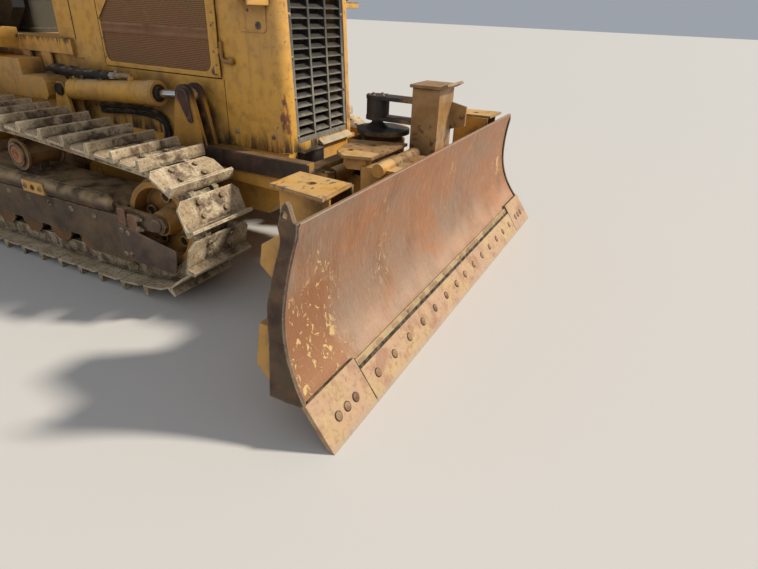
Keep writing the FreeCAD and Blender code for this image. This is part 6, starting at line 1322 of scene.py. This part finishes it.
def paint_nodes():
    """Gives every CAD node its finish."""
    finish = {
        "yellow": ("main_frame", "drawbar", "nose_section", "hood", "cowl", "platform", "fenders",
                   "side_tanks", "side_boxes", "fuel_tank", "canopy", "lift_barrel_right",
                   "lift_barrel_left"),
        "arm": ("c_frame",),
        "bracket": ("blade_back",),
        "dark_yellow": ("angle_barrel_right", "angle_barrel_left", "tilt_barrel", "tilt_carrier",
                        "angle_yoke_right", "angle_yoke_left"),
        "door": ("engine_door_right", "engine_door_left"),
        "board": ("mouldboard",),
        "end_plate": ("end_plates",),
        "edge": ("cutting_edges",),
        "track": ("track_right", "track_left"),
        "idler": ("idlers",),
        "frame_steel": ("sprockets", "rollers"),
        "dark_paint": ("roller_frames", "roller_guards"),
        "grille": ("grille",),
        "soot_and_shadow": ("radiator", "exhaust"),
        "cast": ("engine",),
        "black": ("air_intake", "consoles", "levers", "seat_base"),
        "chrome": ("lift_rod_right", "lift_rod_left", "angle_rod_right", "angle_rod_left", "tilt_rod"),
        "vinyl": ("seat_cushions",),
    }
    for key, names in finish.items():
        for name in names:
            data = bpy.data.objects[name].data
            data.materials.clear()
            data.materials.append(materials[key])
    missing = set(nodes) - {name for names in finish.values() for name in names}
    assert not missing, missing


def arm_band(s):
    """Dark outer bar along the top of the C-frame's arms, their upward faces darkened as well, and the greasy
    heads of its levers.
    """
    outside = s.span(s.aside(), 0.478, 0.48)
    bar = s.times(outside, s.span(s.axis(2), 0.612, 0.622), s.span(s.axis(0), 0.715, 0.725))
    head = s.times(s.span(s.axis(2), 0.885, 0.975), s.span(s.axis(0), 0.75, 0.69))
    top = s.times(s.facing_up(), s.span(s.axis(2), 0.612, 0.622), s.span(s.axis(0), 0.715, 0.725), 0.75)
    share = s.times(s.greater(s.greater(bar, top), head), s.spots(0.15, 0.35, 8.0, 5))
    return share, GREASE_AND_SHADE, RUST_DARK


def tower_band(s):
    """The tower in the middle of the blade is browner than the brackets."""
    middle = s.span(s.aside(), 0.42, 0.4)
    return s.times(middle, 0.75), tone(120, 84, 48), tone(150, 120, 82)


def tower_spots(s):
    """Rust breaking through the tower's paint, most of it near the blade."""
    middle = s.span(s.aside(), 0.42, 0.4)
    low = s.times(s.span(s.axis(2), 1.02, 0.84), 0.12)
    spots = s.span(s.maths("ADD", s.noise(30.0, 7), low), 0.665, 0.735)
    return s.times(middle, s.times(spots, 0.8)), tone(62, 42, 28), tone(92, 60, 38)


def plate_rims(s):
    """The brackets' top plates: rims rubbed to steel, dark chips and scratches over their tops."""
    aside = s.aside()
    plates = s.times(s.span(s.axis(2), 0.782, 0.785), s.span(s.axis(2), 0.812, 0.808),
                     s.span(aside, 0.4, 0.42))
    high = s.greater(plates, s.span(s.axis(2), 1.052, 1.056))
    rim = s.times(s.corners(0.014), s.spots(0.3, 0.45, 20.0, 5))
    chips = s.times(s.spots(0.56, 0.62, 34.0, 6, (1.6, 0.6, 1)), s.spots(0.4, 0.54, 5.0, 3))
    return s.times(high, s.greater(rim, chips)), tone(92, 70, 54), tone(140, 120, 100)


def ball_grease(s):
    """Grease flung round the ball that carries the blade."""
    ahead = s.maths("SUBTRACT", s.axis(0), BALL_X)
    away = s.maths("SQRT", s.maths("ADD", s.times(ahead, ahead), s.times(s.axis(1), s.axis(1))))
    near = s.span(s.maths("ADD", away, s.times(s.noise(14.0, 5), 0.1)), 0.25, 0.175)
    return s.times(near, s.span(s.axis(2), 0.77, 0.8)), GREASE_AND_SHADE, tone(70, 50, 38)


def nose_scars(s):
    """Paint scraped off the front section's upright corners."""
    corner = s.times(s.span(s.axis(0), 1.075, 1.1), s.span(s.aside(), 0.24, 0.275))
    patches = s.spots(0.55, 0.62, 13.0, 7, (1, 1, 0.4))
    flecks = s.spots(0.63, 0.68, 60.0, 4)
    return s.times(corner, s.greater(patches, flecks)), tone(150, 92, 60), tone(108, 70, 52)


def edge_drips(s):
    """Dirt that has run down the lower edge of the hood and the front section."""
    low = s.times(s.span(s.axis(2), 0.88, 0.7), s.span(s.axis(0), -0.2, -0.15))
    runs = s.maths("ADD", s.noise(3.0, 6, (7, 7, 1.0), 0.6), s.times(low, 0.2))
    fine = s.maths("ADD", s.noise(3.0, 6, (26, 26, 1.6)), s.times(low, 0.12))
    share = s.greater(s.span(runs, 0.6, 0.82), s.times(s.span(fine, 0.64, 0.8), s.span(runs, 0.54, 0.66)))
    return s.times(share, low, s.span(s.axis(2), 0.69, 0.7)), GREASE_AND_SHADE, tone(84, 60, 38)


def skirt_drips(s):
    """Dark runs from the deck over the platform's side."""
    band = s.times(s.span(s.axis(2), 1.1, 1.156), s.span(s.axis(2), 1.163, 1.16))
    aside = s.aside()
    outside = s.times(s.span(aside, 0.345, 0.349), s.span(aside, 0.374, 0.37))
    band = s.times(band, s.times(outside, s.span(s.axis(0), -0.36, -0.38)))
    runs = s.maths("ADD", s.noise(3.0, 5, (24, 3, 2)), s.times(band, 0.16))
    return s.times(s.span(runs, 0.64, 0.7), band, 0.9), GREASE_AND_SHADE, tone(70, 56, 42)


# Steels: key, name, dark and light tones of the faces, tone of the edges, dust, metallic
# The end plates: dark rusty steel, darkened further as painted shade.
STEELS = (("end_plate", "end_plate_steel_and_shade", (60, 42, 34), (90, 64, 50), (168, 148, 130), 0.3, 0.3),
          ("idler", "idler_paint", (150, 104, 40), (190, 138, 56), (206, 170, 104), 0.5, 0.1),
          ("guard", "guard_paint", (74, 58, 52), (110, 92, 82), (170, 148, 124), 0.6, 0.1),
          ("rusty_block", "rusty_block", (112, 74, 54), (160, 120, 96), (200, 170, 140), 0.6, 0.2),
          ("orange_rust", "orange_rust", (150, 92, 58), (190, 128, 84), (214, 170, 128), 0.4, 0.1),
          ("mesh_rib", "mesh_rib", (124, 84, 56), (140, 98, 64), (170, 130, 90), 0.3, 0.0),
          ("dust_heap", "dust_heap", (160, 146, 120), (196, 182, 152), (220, 208, 180), 0.95, 0.0),
          ("coil", "coil_steel", (120, 84, 64), (170, 140, 116), (214, 190, 160), 0.3, 0.4),
          ("frame_steel", "roller_steel", (110, 76, 48), (146, 104, 62), (190, 170, 140), 0.7, 0.3),
          ("dark_paint", "frame_paint", (66, 52, 42), (104, 82, 60), (170, 144, 110), 0.75, 0.1),
          ("cast", "cast_iron", (52, 48, 42), (84, 76, 62), (120, 110, 94), 0.5, 0.2),
          ("gland", "gland_steel", (56, 40, 32), (92, 66, 48), (150, 130, 110), 0.4, 0.3),
          ("keeper", "keeper_steel", (58, 36, 34), (86, 56, 48), (150, 130, 112), 0.3, 0.3),
          ("bolt", "bolt_steel", (90, 72, 56), (140, 118, 92), (200, 186, 160), 0.6, 0.5),
          ("rust_bolt", "rusty_bolt", (104, 66, 46), (142, 96, 66), (190, 160, 130), 0.5, 0.3),
          ("zinc", "zinc_plate", (150, 148, 142), (184, 182, 174), (226, 226, 222), 0.3, 0.9),
          ("dull_metal", "dull_metal", (64, 58, 52), (104, 94, 82), (160, 150, 136), 0.5, 0.5))


def make_materials():
    made = {
        "yellow": weathered_paint("yellow_paint", OCHRE, OCHRE_FADED,
                                  marks=(nose_scars, edge_drips, skirt_drips)),
        "dark_yellow": weathered_paint("greasy_yellow_paint", OCHRE_DARK, tone(150, 112, 62), 0.6, 1.0, 0.8,
                                       (ball_grease,)),
        "arm": weathered_paint("arm_paint", tone(206, 150, 58), tone(186, 138, 66), 0.7, 1.0, 0.8,
                               (arm_band, ball_grease)),
        "bracket": weathered_paint("bracket_paint", tone(214, 158, 66), tone(196, 148, 82), 0.45, 0.9, 1.0,
                                   (tower_band, tower_spots, plate_rims, ball_grease)),
        "door": door_surface("door_paint"),
        "board": worn_mouldboard("mouldboard_steel"),
        "edge": worn_edge("edge_steel"),
        "track": track_surface("track_steel"),
        "olive": dull_black("olive_panel", tone(74, 70, 56), 0.6, 0.4),
        "grille": grille_surface("grille_paint"),
        "soot_and_shadow": dull_black("soot_black", tone(34, 30, 27), 0.8),
        "black": dull_black("black_plastic", BLACK, 0.45, 0.4),
        "chrome": smooth_metal("hard_chrome", tone(214, 216, 222), 0.12),
        "vinyl": vinyl("seat_vinyl"),
        "rubber": dull_black("hose_rubber", tone(26, 26, 28), 0.55, 0.5),
        "lamp": lamp_glass("lamp_glass"),
        "lens": red_lens("red_lens")}
    for key, name, deep, mid, bright, dust, metallic in STEELS:
        made[key] = dusty_steel(name, tone(*deep), tone(*mid), tone(*bright), dust, metallic)
    return made


def place_camera():
    data = bpy.data.cameras.new("camera")
    data.sensor_fit = "HORIZONTAL"
    data.sensor_width = SENSOR_WIDTH
    data.lens = SENSOR_WIDTH * CAMERA_FOCAL_PIXELS / IMAGE_WIDTH
    data.clip_start = 0.05
    data.clip_end = 200.0
    camera = add_object("camera", data)
    right = CAMERA_RIGHT.normalized()
    back = right.cross(CAMERA_UP).normalized()
    up = back.cross(right)
    camera.matrix_world = Matrix(((right.x, up.x, back.x, CAMERA_AT.x), (right.y, up.y, back.y, CAMERA_AT.y),
                                  (right.z, up.z, back.z, CAMERA_AT.z), (0.0, 0.0, 0.0, 1.0)))
    bpy.context.scene.camera = camera


def add_light(name, kind, energy, colour, at, toward, size):
    data = bpy.data.lights.new(name, kind)
    data.energy = energy
    data.color = colour
    if kind == "SUN":
        data.angle = size
    else:
        data.shape = "DISK"
        data.size = size
    light = add_object(name, data)
    light.location = at
    light.rotation_euler = (Vector(toward) - Vector(at)).to_track_quat("-Z", "Y").to_euler()


def light_scene():
    world = bpy.data.worlds.new("studio")
    bpy.context.scene.world = world
    world.use_nodes = True
    background = world.node_tree.nodes["Background"]
    background.inputs["Color"].default_value = (0.8, 0.86, 0.95, 1.0)
    background.inputs["Strength"].default_value = 0.42
    middle = (0.6, 0.0, 0.8)
    add_light("key", "SUN", 3.8, (1.0, 0.93, 0.82), (6.0, 4.2, 6.5), middle, math.radians(6))
    add_light("fill", "AREA", 36.0, (1.0, 0.96, 0.9), (3.5, -7.0, 5.0), middle, 5.0)


def add_floor():
    mesh = bpy.data.meshes.new("floor")
    reach = 60.0
    corners = [(-reach, -reach, 0.0), (reach, -reach, 0.0), (reach, reach, 0.0), (-reach, reach, 0.0)]
    mesh.from_pydata(corners, [], [(0, 1, 2, 3)])
    floor = add_object("floor", mesh)
    material = bpy.data.materials.new("floor")
    material.use_nodes = True
    shader = material.node_tree.nodes["Principled BSDF"]
    shader.inputs["Base Color"].default_value = (0.62, 0.6, 0.57, 1.0)
    shader.inputs["Roughness"].default_value = 0.9
    mesh.materials.append(material)


materials = make_materials()
paint_nodes()
for sign in (-1, 1):
    for dress in (dress_track, dress_final_drive, dress_idler, dress_guard, dress_carrier, dress_door,
                  dress_lift_cylinder, dress_levers, dress_angle_cylinder, dress_lift_hoses, dress_nose,
                  dress_cowl):
        dress(sign)
for dress in (dress_edges, dress_grille, dress_front, dress_stacks, dress_blade_back, dress_dash,
              dress_fenders, dress_canopy, dress_rear, dress_seat):
    dress()
place_camera()
light_scene()
add_floor()
bpy.context.scene.view_settings.view_transform = "Standard"
